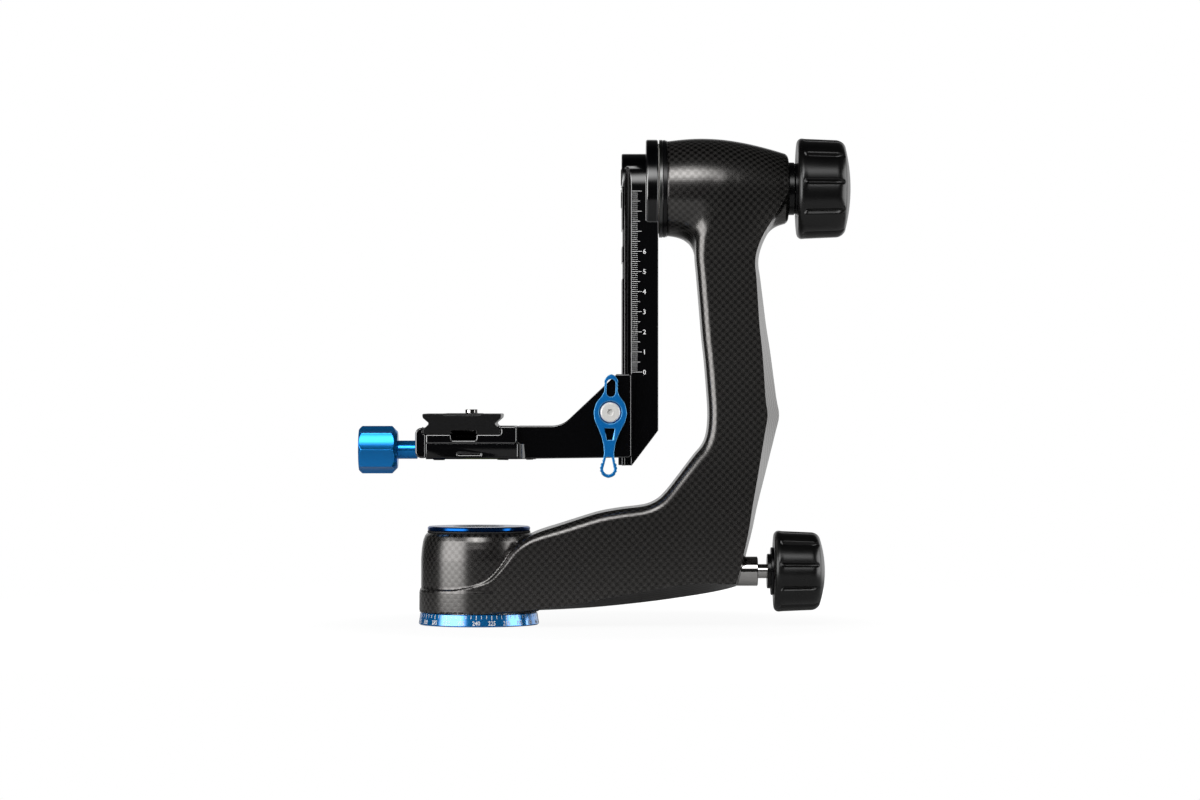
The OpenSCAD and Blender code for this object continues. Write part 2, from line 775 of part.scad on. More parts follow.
module swing_rail() {
  color("#1b1a20") difference() {
    union() {
      rail_side();
      ring_x(rail_half, 0, rail_x0, rail_x1 - flange_t + 0.5, tilt_z, 0.4);
      ring_x(flange_r, 0, rail_x1 - flange_t, rail_x1, tilt_z, 0.5);
    }
    rail_grooves();
    for (z = [tilt_z - 41.5, tilt_z - 25.3])
      translate([rail_x0, 0, z]) cube([0.8, rail_w + 1, 8.7], center = true);
    rod_x(shaft_flange_r + SEAT, rail_x1 - 1, BIG, tilt_z);
    flange_screw_places() countersink(2, 3.8, rail_t + 2);
    rod_x(1.6, rail_x0 - EPS, rail_x0 + stop_l + 0.4, rail_bottom_z + 2.1);
  }
}

module flange_screw_places() {
  for (i = [0 : flange_screw_count - 1])
    translate([rail_x0, 0, tilt_z]) along_x() rotate([0, 0, 45 + i * 360 / flange_screw_count]) translate([8, 0, 0]) children();
}

module tilt_shaft() {
  color("silver") difference() {
    on_tilt_axis() rotate_extrude($fn = 96)
      polygon([
        [0, rail_x1 - 1], [shaft_flange_r, rail_x1 - 1], [shaft_flange_r, ring_x + 1.2], [spindle_r + 2, ring_x + 1.2],
        [spindle_r + 2, left_bearing_x], [spindle_r, left_bearing_x],
        [spindle_r, shaft_end_x - 0.3], [spindle_r - 0.3, shaft_end_x], [0, shaft_end_x]
      ]);
    flange_screw_places() cylinder(r = 2 + SEAT, h = rail_t + 5);
  }
}

module tilt_washer() {
  color("white") ring_x(trim_r - 2, shaft_flange_r + SEAT, rail_x1, rail_x1 + washer_t, tilt_z, 0.05);
}

module tilt_left_inner_race() {
  color("lightgray") on_tilt_axis() inner_race(left_bearing_x);
}

module tilt_right_inner_race() {
  color("lightgray") on_tilt_axis() inner_race(right_bearing_x);
}

module shaft_retainer() {
  color("gray") ring_x(spindle_r + 3.4, spindle_r, right_bearing_x + bearing_w, right_bearing_x + bearing_w + retainer_t, tilt_z, 0.3);
}

module flange_screws() {
  color("gray") flange_screw_places() translate([0, 0, 0.15]) countersunk(2, 3.7, rail_t + 4);
}

module rail_stop() {
  color("black") union() {
    translate([rail_x0 - 1.6, -6, rail_bottom_z]) cube([1.55, 12, 3.9]);
    rod_x(1.5, rail_x0 - 0.5, rail_x0 + stop_l, rail_bottom_z + 2.1);
  }
}

// ---- bracket ----

// Tongue of a rail jaw, drawn on the back side, that rides in the rail's groove
module jaw_tongue(z0, z1) {
  mid = (notch_x0 + notch_x1) / 2;
  reach = groove_d - 0.4;
  translate([0, 0, z0]) linear_extrude(height = z1 - z0)
    polygon([
      [notch_x0 + 0.35, rail_half + 0.35], [mid - 0.25, rail_half - reach],
      [mid + 0.25, rail_half - reach], [notch_x1 - 0.35, rail_half + 0.35]
    ]);
}

// Side view of the bracket, seen from the front
module bracket_side(half_depth) {
  rotate([90, 0, 0]) linear_extrude(height = half_depth * 2, center = true)
    polygon(concat(
      [
        [platform_x1 - 8, platform_z0], [clamp_x1 - 1, clamp_z0 - 0.2], [clamp_x1, clamp_z0 + 0.8],
        [clamp_x1, clamp_z1 - 1], [clamp_x1 - 1, clamp_z1], [slope_x1, clamp_z1]
      ],
      arc(slope_cx, bracket_top_z + slope_r, slope_r, slope_a - 90, -90, 6),
      [
        [platform_x1 + SEAT, bracket_top_z], [platform_x1 + SEAT, platform_z1],
        [platform_x1 - 8, platform_z1]
      ]
    ));
}

// Concave corner cut where the wide platform meets the narrower arm
module platform_scoop() {
  for (side = [-1, 1])
    translate([platform_x1 + scoop_r, side * (clamp_half + scoop_r - 1.5), platform_z0 - 1])
      cylinder(r = scoop_r, h = platform_t + 2, $fn = 64);
}

module bracket_arm() {
  color("#101010") difference() {
    union() {
      difference() {
        bracket_side(clamp_half);
        // opening for the rail, with its sliding gap
        translate([rail_x0 - slide_gap, -rail_half - slide_gap, 0]) cube([BIG, rail_w + slide_gap * 2, BIG]);
        // room for the moving jaw at the back
        translate([jaw_x0, rail_half - 1, clamp_z0 - 2]) cube([BIG, BIG, BIG]);
      }
      mirror([0, 1, 0]) jaw_tongue(clamp_z0, clamp_z1);
      platform();
    }
    rod_y(lever_screw_r + running, -BIG, BIG, pivot_x, pivot_z);
    jaw_pin_places() rod_y(1.6, rail_half - 10, BIG, 0, 0);
    rod_x(clamp_screw_r + running, platform_x0 - 1, screw_pocket_x1, clamp_axis_z);
    guide_pin_places() rod_x(2 + running, platform_x0 - 1, platform_x0 + 13, 0);
    clamp_screw_places() countersink(1.5, 2.8, BIG);
    translate([-10, -platform_half - 1, platform_z0 + 1.5]) cube([12, 1.8, 1.8]);
  }
}

module platform() {
  difference() {
    translate([platform_x0, -platform_half, platform_z0])
      cube([platform_x1 + scoop_r + 3 - platform_x0, platform_half * 2, platform_t]);
    platform_scoop();
    // chamfer along the two lower front and back edges
    for (side = [-1, 1])
      translate([0, side * platform_half, platform_z0]) rotate([45, 0, 0]) cube([BIG, 2, 2], center = true);
    // narrows to the arm's depth beyond the scoop
    for (side = [-1, 1])
      translate([platform_x1 + scoop_r, side * (clamp_half + BIG / 2), platform_z0]) cube([BIG / 2, BIG, BIG]);
  }
}

// Two guide pins of the rail jaw, above and below the lever's screw
module jaw_pin_places() {
  for (z = [pivot_z - 13, pivot_z + 11]) translate([pivot_x, 0, z]) children();
}

module rail_jaw() {
  inner_y = rail_half + gap;
  color("#101010") difference() {
    union() {
      intersection() {
        bracket_side(clamp_half);
        translate([jaw_x0 + 0.2, inner_y, 0]) cube([BIG, BIG, BIG]);
      }
      jaw_tongue(clamp_z0, clamp_z1);
      jaw_pin_places() rod_y(1.5, rail_half - 9, rail_half + 2, 0, 0);
    }
    rod_y(lever_screw_r + running, 0, BIG, pivot_x, pivot_z);
  }
}

module jaw_washers() {
  color("silver") jaw_pin_places() difference() {
    rod_y(3, rail_half - 0.95, rail_half + 0.25, 0, 0);
    rod_y(1.6, 0, BIG, 0, 0);
  }
}

// Half widths of the lever along its length, as shares of its two arms
LEVER_TOP = [[0, 1.00], [4.1, 0.88], [6.4, 0.70], [8.3, 0.52], [10.2, 0.42], [12, 0.40], [14, 0.42], [16, 0.40], [17.6, 0.27], [18.4, 0.16], [18.9, 0]];
LEVER_LOW = [[0, 1.00], [4, 0.93], [8, 0.71], [12, 0.50], [16, 0.36], [20, 0.30], [23, 0.34], [25.5, 0.47], [28.1, 0.53], [30.3, 0.45], [31.8, 0.26], [32.5, 0]];

// Points down one side of an arm of the lever, from its hub to just short of its tip
function lever_side(rows, reach) =
  let (tip = len(rows) - 1, drawn = rows[tip][0])
  [for (i = [0 : tip - 1], k = [0 : 1])
    let (row = blend(rows[max(i - 1, 0)], rows[i], rows[i + 1], rows[min(i + 2, tip)], k / 2))
    [row[1] * lever_hub_r, row[0] * reach / drawn]];

module lever_outline() {
  top = lever_side(LEVER_TOP, lever_high);
  low = lever_side(LEVER_LOW, lever_low);
  n = len(top) - 1;
  m = len(low) - 1;
  polygon(concat(
    [for (p = top) p],
    [[0, lever_high]],
    [for (i = [n : -1 : 0]) [-top[i][0], top[i][1]]],
    [for (i = [1 : m]) [-low[i][0], -low[i][1]]],
    [[0, -lever_low]],
    [for (i = [m : -1 : 1]) [low[i][0], -low[i][1]]]
  ));
}

// Shallow finger notches along both sides of the lever's two loops
module lever_notches() {
  places = [
    [4.05, lever_high - 8.2], [4, lever_high - 6.4], [4.05, lever_high - 4.6],
    [3.9, 7.9 - lever_low], [4.65, 6 - lever_low], [4.85, 4.1 - lever_low], [4.3, 2.3 - lever_low]
  ];
  for (side = [-1, 1], place = places)
    translate([side * place[0], place[1], -1]) cylinder(r = 0.8, h = BIG, $fn = 24);
}

module lever() {
  hole_r = lever_head_r + 0.6;
  color("royalblue") translate([pivot_x, lever_y, pivot_z]) rotate([90, 0, 0]) rotate([0, 0, lever_lean]) difference() {
    linear_extrude(height = lever_t) lever_outline();
    translate([0, 0, 1]) cylinder(r = hole_r, h = BIG);
    translate([0, 0, -EPS]) cylinder(r = lever_screw_r + 0.02, h = BIG);
    // slot in the upper arm
    for (z = [lever_high - 9, lever_high - 4.7]) translate([0, z, -1]) cylinder(r = 2.2, h = BIG);
    translate([-2.2, lever_high - 9, -1]) cube([4.4, 4.3, BIG]);
    // tapered window below the hub
    translate([0, 0, -1]) linear_extrude(height = BIG)
      polygon([[-2.5, -8], [2.5, -8], [1.3, -13.7], [-1.3, -13.7]]);
    // teardrop at the lower end
    translate([0, -lever_low + 4.4, -1]) cylinder(r = 2.6, h = BIG);
    translate([0, 0, -1]) linear_extrude(height = BIG)
      polygon([[-2.5, -lever_low + 5], [2.5, -lever_low + 5], [1.3, -lever_low + 10.3], [-1.3, -lever_low + 10.3]]);
    lever_notches();
  }
}

module lever_screw() {
  head_y = lever_y - 1;
  color("silver") difference() {
    union() {
      translate([pivot_x, head_y, pivot_z]) rotate([90, 0, 0]) ring(lever_head_r, 0, 0, lever_t - 0.8, 0.6);
      rod_y(lever_screw_r, head_y - 1, clamp_half - 0.5, pivot_x, pivot_z);
    }
    translate([pivot_x, head_y - lever_t - 0.2, pivot_z]) rotate([-90, 0, 0]) cylinder(r = 1.7, h = 2.2, $fn = 6);
  }
}

module lever_washer() {
  color("gray") translate([pivot_x, -clamp_half - SEAT / 2, pivot_z]) rotate([90, 0, 0])
    ring(lever_hub_r - 1.2, lever_screw_r + 0.1, 0, 0.25, 0.02);
}

// ---- quick-release clamp ----

module clamp_base() {
  lip_x = plate_x + dove_half;
  color("#141414") difference() {
    rotate([90, 0, 0]) linear_extrude(height = platform_half * 2, center = true)
      polygon([
        [platform_x0, platform_z1], [platform_x1 - 0.8, platform_z1], [platform_x1, platform_z1 + 0.8],
        [platform_x1, neck_z0 - 1.6], [platform_x1 - 0.8, neck_z0 - 0.8],
        [lip_x - dove_in + 1.1, neck_z0 - 0.8], [lip_x + 0.3, flank_z + 0.2],
        [lip_x + 0.3, floor_z], [platform_x0, floor_z]
      ]);
    // room for the plate's ring, closed by a web at the back
    translate([camera_x - pocket_half, -BIG, floor_z - ring_room])
      cube([pocket_half + screw_side, BIG + platform_half - back_web, BIG]);
    clamp_screw_places() cylinder(r = 1.5 + SEAT, h = floor_z - 3.4);
  }
}

module clamp_screw_places() {
  for (x = [platform_x0 + 6.5, platform_x1 - 7], y = [-platform_half + 5, platform_half - 5])
    translate([x, y, platform_z0]) children();
}

module clamp_base_screws() {
  color("gray") clamp_screw_places() translate([0, 0, 0.1]) countersunk(1.5, 2.7, platform_t + 1.6);
}

module guide_pin_places() {
  for (y = [-platform_half + 13, platform_half - 13]) translate([0, y, clamp_axis_z]) children();
}

module clamp_jaw() {
  lip_x = plate_x - dove_half;
  face_x = platform_x0 - slide_gap;
  top_z = neck_z0 - 1.6;
  color("#141414") difference() {
    rotate([90, 0, 0]) linear_extrude(height = platform_half * 2, center = true)
      polygon(concat(
        arc(jaw_outer_x + jaw_round, platform_z0 + 0.5 + jaw_round, jaw_round, 270, 180, 6),
        arc(jaw_outer_x + jaw_round, top_z - jaw_round, jaw_round, 180, 90, 6),
        [
          [lip_x + 0.45, top_z], [lip_x - 0.25, top_z - 0.7], [lip_x - 0.25, floor_z + slide_gap],
          [face_x, floor_z + slide_gap], [face_x, platform_z0 + 0.5]
        ]
      ));
    rod_x(clamp_screw_r + running, -BIG / 2, BIG, clamp_axis_z);
    guide_pin_places() rod_x(2, jaw_outer_x + 2, BIG, 0);
  }
}

module clamp_guide_pins() {
  color("silver") guide_pin_places() rod_x(2, jaw_outer_x + 2, platform_x0 + 6, 0);
}

// Round bar of the clamp knob, with a steep cone towards the jaw
module clamp_knob_bar() {
  translate([0, 0, clamp_axis_z]) along_x() rotate_extrude($fn = 96)
    polygon([
      [0, knob_x0], [clamp_knob_r - knob_edge, knob_x0], [clamp_knob_r, knob_x0 + knob_edge],
      [clamp_knob_r, knob_x1 - knob_cone], [clamp_knob_r - knob_cone, knob_x1], [0, knob_x1]
    ]);
}

module clamp_knob() {
  half_turn = 180 / flute_count;
  // the shallow hollows leave narrow lands between them
  hollow_half = clamp_knob_r * sin(half_turn) * 0.92;
  hollow_d = clamp_knob_r * cos(half_turn) - hollow_half * hollow_half / (2 * flute_r);
  color("dodgerblue") difference() {
    union() {
      difference() {
        clamp_knob_bar();
        for (i = [0 : flute_count - 1])
          translate([0, 0, clamp_axis_z]) rotate([(i * 2 + 1) * half_turn, 0, 0])
            translate([knob_x0 - 1, 0, hollow_d + flute_r]) along_x() cylinder(r = flute_r, h = clamp_knob_l + 2);
      }
      ring_x(4.6, 0, knob_x1 - 1, jaw_outer_x - SEAT, clamp_axis_z, 0.2);
    }
    rod_x(clamp_screw_r, knob_x0 + 6, BIG, clamp_axis_z);
  }
}

module clamp_screw() {
  color("silver") ring_x(clamp_screw_r, 0, knob_x0 + 6, screw_pocket_x1 - 7, clamp_axis_z, 0.3);
}

// ---- camera plate ----

module qr_plate() {
  w = dove_half;
  n = dove_half - dove_in;
  color("#181818") difference() {
    rotate([90, 0, 0]) linear_extrude(height = plate_l, center = true)
      polygon([
        [plate_x - w + 0.4, plate_z0], [plate_x + w - 0.4, plate_z0], [plate_x + w, plate_z0 + 0.4], [plate_x + w, flank_z],
        [plate_x + n, neck_z0], [plate_x + n, neck_z1], [plate_x + w + 0.2, neck_z1 + 2.3],
        [plate_x + w + 0.5, plate_top_z - 0.5], [plate_x + w, plate_top_z], [plate_x - w, plate_top_z],
        [plate_x - w - 0.5, plate_top_z - 0.5], [plate_x - w - 0.2, neck_z1 + 2.3], [plate_x - n, neck_z1],
        [plate_x - n, neck_z0], [plate_x - w, flank_z], [plate_x - w, plate_z0 + 0.4]
      ]);
    // pocket for the pad
    translate([plate_x - pocket_half, -BIG / 2, plate_top_z - 0.8]) cube([pocket_half * 2, BIG, 5]);
    // round recess for the screw's head and its ring, and the channel that leads to it
    translate([camera_x, 0, plate_z0 - 1]) cylinder(r = 11.9, h = 4.6);
    translate([camera_x - pocket_half, -BIG, plate_z0 - 1]) cube([pocket_half + screw_side, BIG, 2.8]);
    translate([camera_x, 0, 0]) cylinder(r = camera_neck_r + running, h = BIG);
  }
}

module plate_pad() {
  color("black") difference() {
    translate([plate_x - pocket_half + 0.1, -plate_l / 2, plate_top_z - 0.8]) cube([pocket_half * 2 - 0.2, plate_l, 0.9]);
    translate([camera_x, 0, 0]) cylinder(r = camera_screw_r + 0.8, h = BIG);
  }
}

// Captive screw: its neck turns in the plate and its thread stands above the pad
module camera_screw() {
  color("silver") translate([camera_x, 0, 0]) difference() {
    union() {
      ring(6, 0, camera_head_z - 2.6, camera_head_z, 0.3);
      ring(camera_neck_r, 0, camera_head_z - 1, plate_top_z + 1, 0.1);
      ring(camera_screw_r, 0, plate_top_z + 0.2, plate_top_z + 2.1, 0.25);
    }
    translate([-7, -0.8, camera_head_z - 2.7]) cube([14, 1.6, 1.2]);
    rod_y(0.7, -ring_r, ring_r, -ring_r / 2, ring_z);
  }
}

// Folding ring whose ends sit in a cross hole of the camera screw's head
module d_ring() {
  wire_r = 0.6;
  color("silver") translate([camera_x - ring_r / 2, 0, 0]) union() {
    translate([0, 0, ring_z]) rotate([0, 0, 90]) rotate_extrude(angle = 180, $fn = 96)
      translate([ring_r, 0]) circle(r = wire_r, $fn = 16);
    for (side = [-1, 1])
      scale([1, side, 1]) rod_y(wire_r, 3, ring_r, 0, ring_z);
  }
}

base_dial();
base_pad();
tripod_bush();
pan_spindle();
dial_screws();
pan_lower_inner_race();
pan_upper_inner_race();
pan_drum();
spindle_nut();
arm_shell();
pan_sleeve();
pan_lower_outer_race();
pan_upper_outer_race();
pan_balls();
cap_seal();
cap_ring();
level_cup();
level_vial();
lock_bushing();
tilt_sleeve();
tilt_left_outer_race();
tilt_right_outer_race();
tilt_balls();
trim_ring();
hub_ring();
tilt_neck();
pan_push_rod();
pan_brake_shoe();
pan_knob_grip();
pan_knob_core();
pan_knob_stud();
tilt_pressure_plate();
tilt_brake_pad();
tilt_knob_grip();
tilt_knob_core();
tilt_knob_stud();
swing_rail();
tilt_shaft();
tilt_washer();
tilt_left_inner_race();
tilt_right_inner_race();
shaft_retainer();
flange_screws();
rail_stop();
bracket_arm();
rail_jaw();
jaw_washers();
lever();
lever_screw();
lever_washer();
clamp_base();
clamp_base_screws();
clamp_jaw();
clamp_guide_pins();
clamp_knob();
clamp_screw();
qr_plate();
plate_pad();
camera_screw();
d_ring();
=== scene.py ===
"""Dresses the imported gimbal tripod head: finishes, carbon arm, rubber grips, printed scales and studio."""
import logging
import math
from dataclasses import dataclass, field, replace
from enum import Enum
from typing import Any, Callable, Iterable, Mapping, Sequence

import bpy
import numpy as np
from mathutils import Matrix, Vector


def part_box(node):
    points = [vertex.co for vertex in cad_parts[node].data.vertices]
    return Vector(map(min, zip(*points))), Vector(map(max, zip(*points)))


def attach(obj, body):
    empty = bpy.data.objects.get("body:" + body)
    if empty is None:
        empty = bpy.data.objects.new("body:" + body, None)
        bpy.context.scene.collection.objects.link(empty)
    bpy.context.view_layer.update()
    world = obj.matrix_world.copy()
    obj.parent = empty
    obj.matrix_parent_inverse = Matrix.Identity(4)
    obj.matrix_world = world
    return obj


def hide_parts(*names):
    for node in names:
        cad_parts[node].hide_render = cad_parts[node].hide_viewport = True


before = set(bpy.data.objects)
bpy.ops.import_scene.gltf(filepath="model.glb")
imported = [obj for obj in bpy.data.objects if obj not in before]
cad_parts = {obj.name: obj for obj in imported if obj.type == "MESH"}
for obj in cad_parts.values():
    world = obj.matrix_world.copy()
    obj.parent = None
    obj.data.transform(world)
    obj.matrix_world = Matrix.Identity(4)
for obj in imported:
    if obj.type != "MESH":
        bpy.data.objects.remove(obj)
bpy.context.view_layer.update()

MM = 0.001
LOG = logging.getLogger("gimbal_head")
WHITE = (1.0, 1.0, 1.0)
Colour = tuple[float, float, float]


class Axis(Enum):
    """The lathe axis of a turned piece."""

    PAN = "pan"
    TILT = "tilt"
    PAN_LOCK = "pan_lock"
    CLAMP = "clamp"
    LEVER = "lever"
    CAMERA = "camera"


@dataclass(frozen=True)
class Layout:
    """Places in the head's own frame, in millimetres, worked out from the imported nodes."""

    tilt_z: float
    lock_z: float
    clamp_z: float
    pivot: tuple[float, float]
    camera_x: float

    @classmethod
    def from_frame(cls) -> "Layout":
        """Reads the axes off the round nodes that turn on them.

        Returns:
            The layout.
        """
        def centre(node: str) -> Vector:
            """Middle of a node's box in millimetres."""
            low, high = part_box(node)
            return (low + high) / 2 / MM

        pivot = centre("lever_washer")
        return cls(
            tilt_z=centre("trim_ring").z,
            lock_z=centre("lock_bushing").z,
            clamp_z=centre("clamp_screw").z,
            pivot=(pivot.x, pivot.z),
            camera_x=centre("camera_screw").x,
        )

    def lathe(self, axis: Axis) -> tuple[int, Vector]:
        """Finds an axis.

        Args:
            axis: the axis that is asked for.

        Returns:
            Index of the coordinate that runs along it, and a point on it in metres.
        """
        places = {
            Axis.PAN: (2, (0.0, 0.0, 0.0)),
            Axis.TILT: (0, (0.0, 0.0, self.tilt_z)),
            Axis.PAN_LOCK: (0, (0.0, 0.0, self.lock_z)),
            Axis.CLAMP: (0, (0.0, 0.0, self.clamp_z)),
            Axis.LEVER: (1, (self.pivot[0], 0.0, self.pivot[1])),
            Axis.CAMERA: (2, (self.camera_x, 0.0, 0.0)),
        }
        along, point = places[axis]
        return along, Vector(point) * MM


# ---- shader graphs ----


def operators(operation: str) -> tuple[Callable, Callable]:
    """Makes an operator of Sock and its reflected form.

    Args:
        operation: the Math node's operation.

    Returns:
        The method with the Sock first, and the one with the other value first.
    """
    def straight(self: "Sock", other: Any) -> "Sock":
        """The operation on this value and another."""
        return self.math(operation, self, other)

    def reflected(self: "Sock", other: Any) -> "Sock":
        """The operation on another value and this one."""
        return self.math(operation, other, self)

    return straight, reflected


class Sock:
    """A value in a node graph. Arithmetic on it adds Math nodes to the graph."""

    def __init__(self, graph: "Graph", output: bpy.types.NodeSocket) -> None:
        """Wraps one output socket of a node in graph."""
        self.graph = graph
        self.output = output

    def math(self, operation: str, *values: Any) -> "Sock":
        """Adds one Math node whose inputs are those sockets or numbers."""
        return self.graph.node("ShaderNodeMath", {"operation": operation}, dict(enumerate(values)))

    __add__, __radd__ = operators("ADD")
    __sub__, __rsub__ = operators("SUBTRACT")
    __mul__, __rmul__ = operators("MULTIPLY")
    __truediv__, __rtruediv__ = operators("DIVIDE")
    __pow__, __rpow__ = operators("POWER")

    def sine(self) -> "Sock":
        """Sine of the value in radians."""
        return self.math("SINE", self)

    def absolute(self) -> "Sock":
        """Value without its sign."""
        return self.math("ABSOLUTE", self)

    def clamped(self) -> "Sock":
        """Value kept within 0 to 1."""
        return self.graph.node("ShaderNodeClamp", None, {0: self})


class Graph:
    """The nodes of a material, a lamp or the world, started afresh."""

    def __init__(self, owner: Any) -> None:
        """Takes over the node tree of its owner and empties it.

        Args:
            owner: the material, lamp data or world.
        """
        owner.use_nodes = True
        self.tree = owner.node_tree
        self.tree.nodes.clear()

    def node(
        self,
        kind: str,
        settings: Mapping[str, Any] | None = None,
        inputs: Mapping[Any, Any] | None = None,
        output: str | int = 0,
    ) -> Sock | None:
        """Adds a node of any type.

        Args:
            kind: the node's type name.
            settings: attributes to set first.
            inputs: values or links by socket name or number.
            output: the output socket to return.

        Returns:
            That output, wrapped, or None for a node without outputs.
        """
        made = self.tree.nodes.new(kind)
        for key, value in (settings or {}).items():
            setattr(made, key, value)
        for key, value in (inputs or {}).items():
            self.feed(made.inputs[key], value)
        return Sock(self, made.outputs[output]) if made.outputs else None

    def feed(self, socket: bpy.types.NodeSocket, value: Any) -> None:
        """Links a wrapped output to a socket, or sets the socket's own value.

        Args:
            socket: the input socket.
            value: a wrapped output, a number, a vector or a colour.
        """
        if isinstance(value, Sock):
            self.tree.links.new(value.output, socket)
        elif socket.type == "RGBA":
            socket.default_value = (*value, 1.0)
        else:
            socket.default_value = value

    def end(self, kind: str, shader: Sock) -> None:
        """Adds the closing node of that kind behind a shader."""
        self.node(kind, None, {0: shader})

    def place(self, space: str = "Object") -> Sock:
        """Position in the piece's own frame in metres, or in another space of Texture Coordinate."""
        return self.node("ShaderNodeTexCoord", output=space)

    def split(self, vector: Sock) -> list[Sock]:
        """The three numbers of a vector."""
        made = self.node("ShaderNodeSeparateXYZ", None, {0: vector}).output.node
        return [Sock(self, number) for number in made.outputs]

    def between(self, operation: str, one: Sock, two: Any, output: str = "Vector") -> Sock:
        """Adds one Vector Math node."""
        return self.node("ShaderNodeVectorMath", {"operation": operation}, {0: one, 1: two}, output)

    def ramp(self, value: Sock, stops: tuple[float, float, float, float]) -> Sock:
        """Smooth ramp of a value, whose stops are two places and the results there."""
        inputs = {0: value} | dict(enumerate(stops, 1))
        return self.node("ShaderNodeMapRange", {"interpolation_type": "SMOOTHSTEP"}, inputs)

    def noise(self, scale: float, detail: float = 2.0) -> Sock:
        """Noise from 0 to 1 with features about 1/scale metres wide."""
        inputs = {"Vector": self.place(), "Scale": scale, "Detail": detail}
        return self.node("ShaderNodeTexNoise", None, inputs)

    def mix(self, factor: Any, low: Any, high: Any) -> Sock:
        """Blends two colours, through the Mix node's colour sockets 6 and 7 and its colour output 2."""
        return self.node("ShaderNodeMix", {"data_type": "RGBA"}, {0: factor, 6: low, 7: high}, 2)

    def blend(self, factor: Any, low: Sock, high: Sock) -> Sock:
        """Blends two shaders."""
        return self.node("ShaderNodeMixShader", None, {0: factor, 1: low, 2: high})

    def ray(self, kind: str) -> Sock:
        """Whether a ray is of that kind, such as Is Camera Ray."""
        return self.node("ShaderNodeLightPath", output=kind)


def shade(colour: Colour, share: float) -> Colour:
    """Colour made darker, or lighter where share is over 1."""
    return tuple(c * share for c in colour)


def spread(pattern: Sock, middle: float, width: float) -> Sock:
    """Lays a pattern of 0 to 1 evenly about a middle value."""
    return pattern * width + (middle - width / 2)


class Skin(Graph):
    """One finish's nodes, ending in a Principled shader."""

    def __init__(self, name: str) -> None:
        """Starts a material of that name.

        Args:
            name: name of the material.
        """
        self.material = bpy.data.materials.new(name)
        super().__init__(self.material)
        shader = self.node("ShaderNodeBsdfPrincipled")
        self.shader = shader.output.node
        self.end("ShaderNodeOutputMaterial", shader)

    def set(self, **inputs: Any) -> None:
        """Sets or links sockets of the Principled shader.

        Args:
            inputs: values or links by the socket's name, with underscores for spaces.
        """
        names = {"ior_level": "Specular IOR Level", "ior": "IOR", "coat_ior": "Coat IOR"}
        for key, value in inputs.items():
            self.feed(self.shader.inputs[names.get(key, key.replace("_", " ").title())], value)

    def mottled(self, pattern: Sock, colour: Colour, dark: float, light: float = 1.0) -> Sock:
        """Colour that a pattern of 0 to 1 takes from dark to light times its own brightness."""
        return self.mix(pattern, shade(colour, dark), shade(colour, light))

    def bump(self, height: Sock, depth: float) -> None:
        """Feeds the shader's Normal from a height of 0 to 1 that is depth metres deep."""
        relief = {"Strength": 1.0, "Distance": depth, "Height": height}
        self.set(normal=self.node("ShaderNodeBump", None, relief, "Normal"))


# ---- finishes ----


@dataclass(frozen=True)
class Anodised:
    """Bead-blasted and anodised aluminium."""

    name: str
    colour: Colour
    roughness: float
    metallic: float
    coat: float = 0.0
    ior_level: float = 0.5
    ior: float = 1.5
    grain: float = 2e-6

    def build(self) -> bpy.types.Material:
        """Makes the material.

        Returns:
            The material.
        """
        g = Skin(self.name)
        blast = g.noise(2600.0)
        g.set(
            base_color=g.mottled(g.noise(60.0), self.colour, 0.88),
            roughness=spread(blast, self.roughness, 0.08),
            metallic=self.metallic,
            coat_weight=self.coat,
            coat_roughness=0.12,
            ior_level=self.ior_level,
            ior=self.ior,
        )
        g.bump(blast, self.grain)
        return g.material


@dataclass(frozen=True)
class Turned:
    """Metal cut on a lathe, with fine feed rings about its axis."""

    name: str
    colour: Colour
    roughness: float
    axis: Axis = Axis.PAN
    ring_pitch: float = 0.00022
    depth: float = 2.5e-6
    metallic: float = 1.0
    coat: float = 0.0
    coat_ior: float = 1.5

    def about(self, axis: Axis) -> "Turned":
        """The same finish with its rings about another axis."""
        return replace(self, axis=axis)

    def build(self, layout: Layout) -> bpy.types.Material:
        """Makes the material.

        Args:
            layout: the layout that says where the axis lies.

        Returns:
            The material.
        """
        along, point = layout.lathe(self.axis)
        g = Skin(f"{self.name}_{self.axis.value}")
        numbers = g.split(g.between("SUBTRACT", g.place(), point))
        one, two = (number for i, number in enumerate(numbers) if i != along)
        radius = (one * one + two * two) ** 0.5
        feed = (numbers[along] + radius) / self.ring_pitch
        ring = g.node("ShaderNodeTexNoise", {"noise_dimensions": "1D"}, {"W": feed, "Scale": 1.0})
        g.set(
            base_color=g.mottled(ring, self.colour, 0.9),
            roughness=spread(ring, self.roughness, 0.1),
            metallic=self.metallic,
            coat_weight=self.coat,
            coat_roughness=0.08,
            coat_ior=self.coat_ior,
        )
        g.bump(ring, self.depth)
        return g.material


@dataclass(frozen=True)
class Moulded:
    """Rubber or plastic from a mould, with a fine even texture."""

    name: str
    colour: Colour
    roughness: float
    grain: float = 1e-5
    grain_scale: float = 3500.0
    ior_level: float = 0.5

    def build(self) -> bpy.types.Material:
        """Makes the material.

        Returns:
            The material.
        """
        g = Skin(self.name)
        rub = g.noise(90.0, 3.0)
        g.set(
            base_color=g.mottled(rub, self.colour, 0.85, 1.15),
            roughness=spread(rub, self.roughness, 0.1),
            ior_level=self.ior_level,
        )
        g.bump(g.noise(self.grain_scale, 4.0), self.grain)
        return g.material


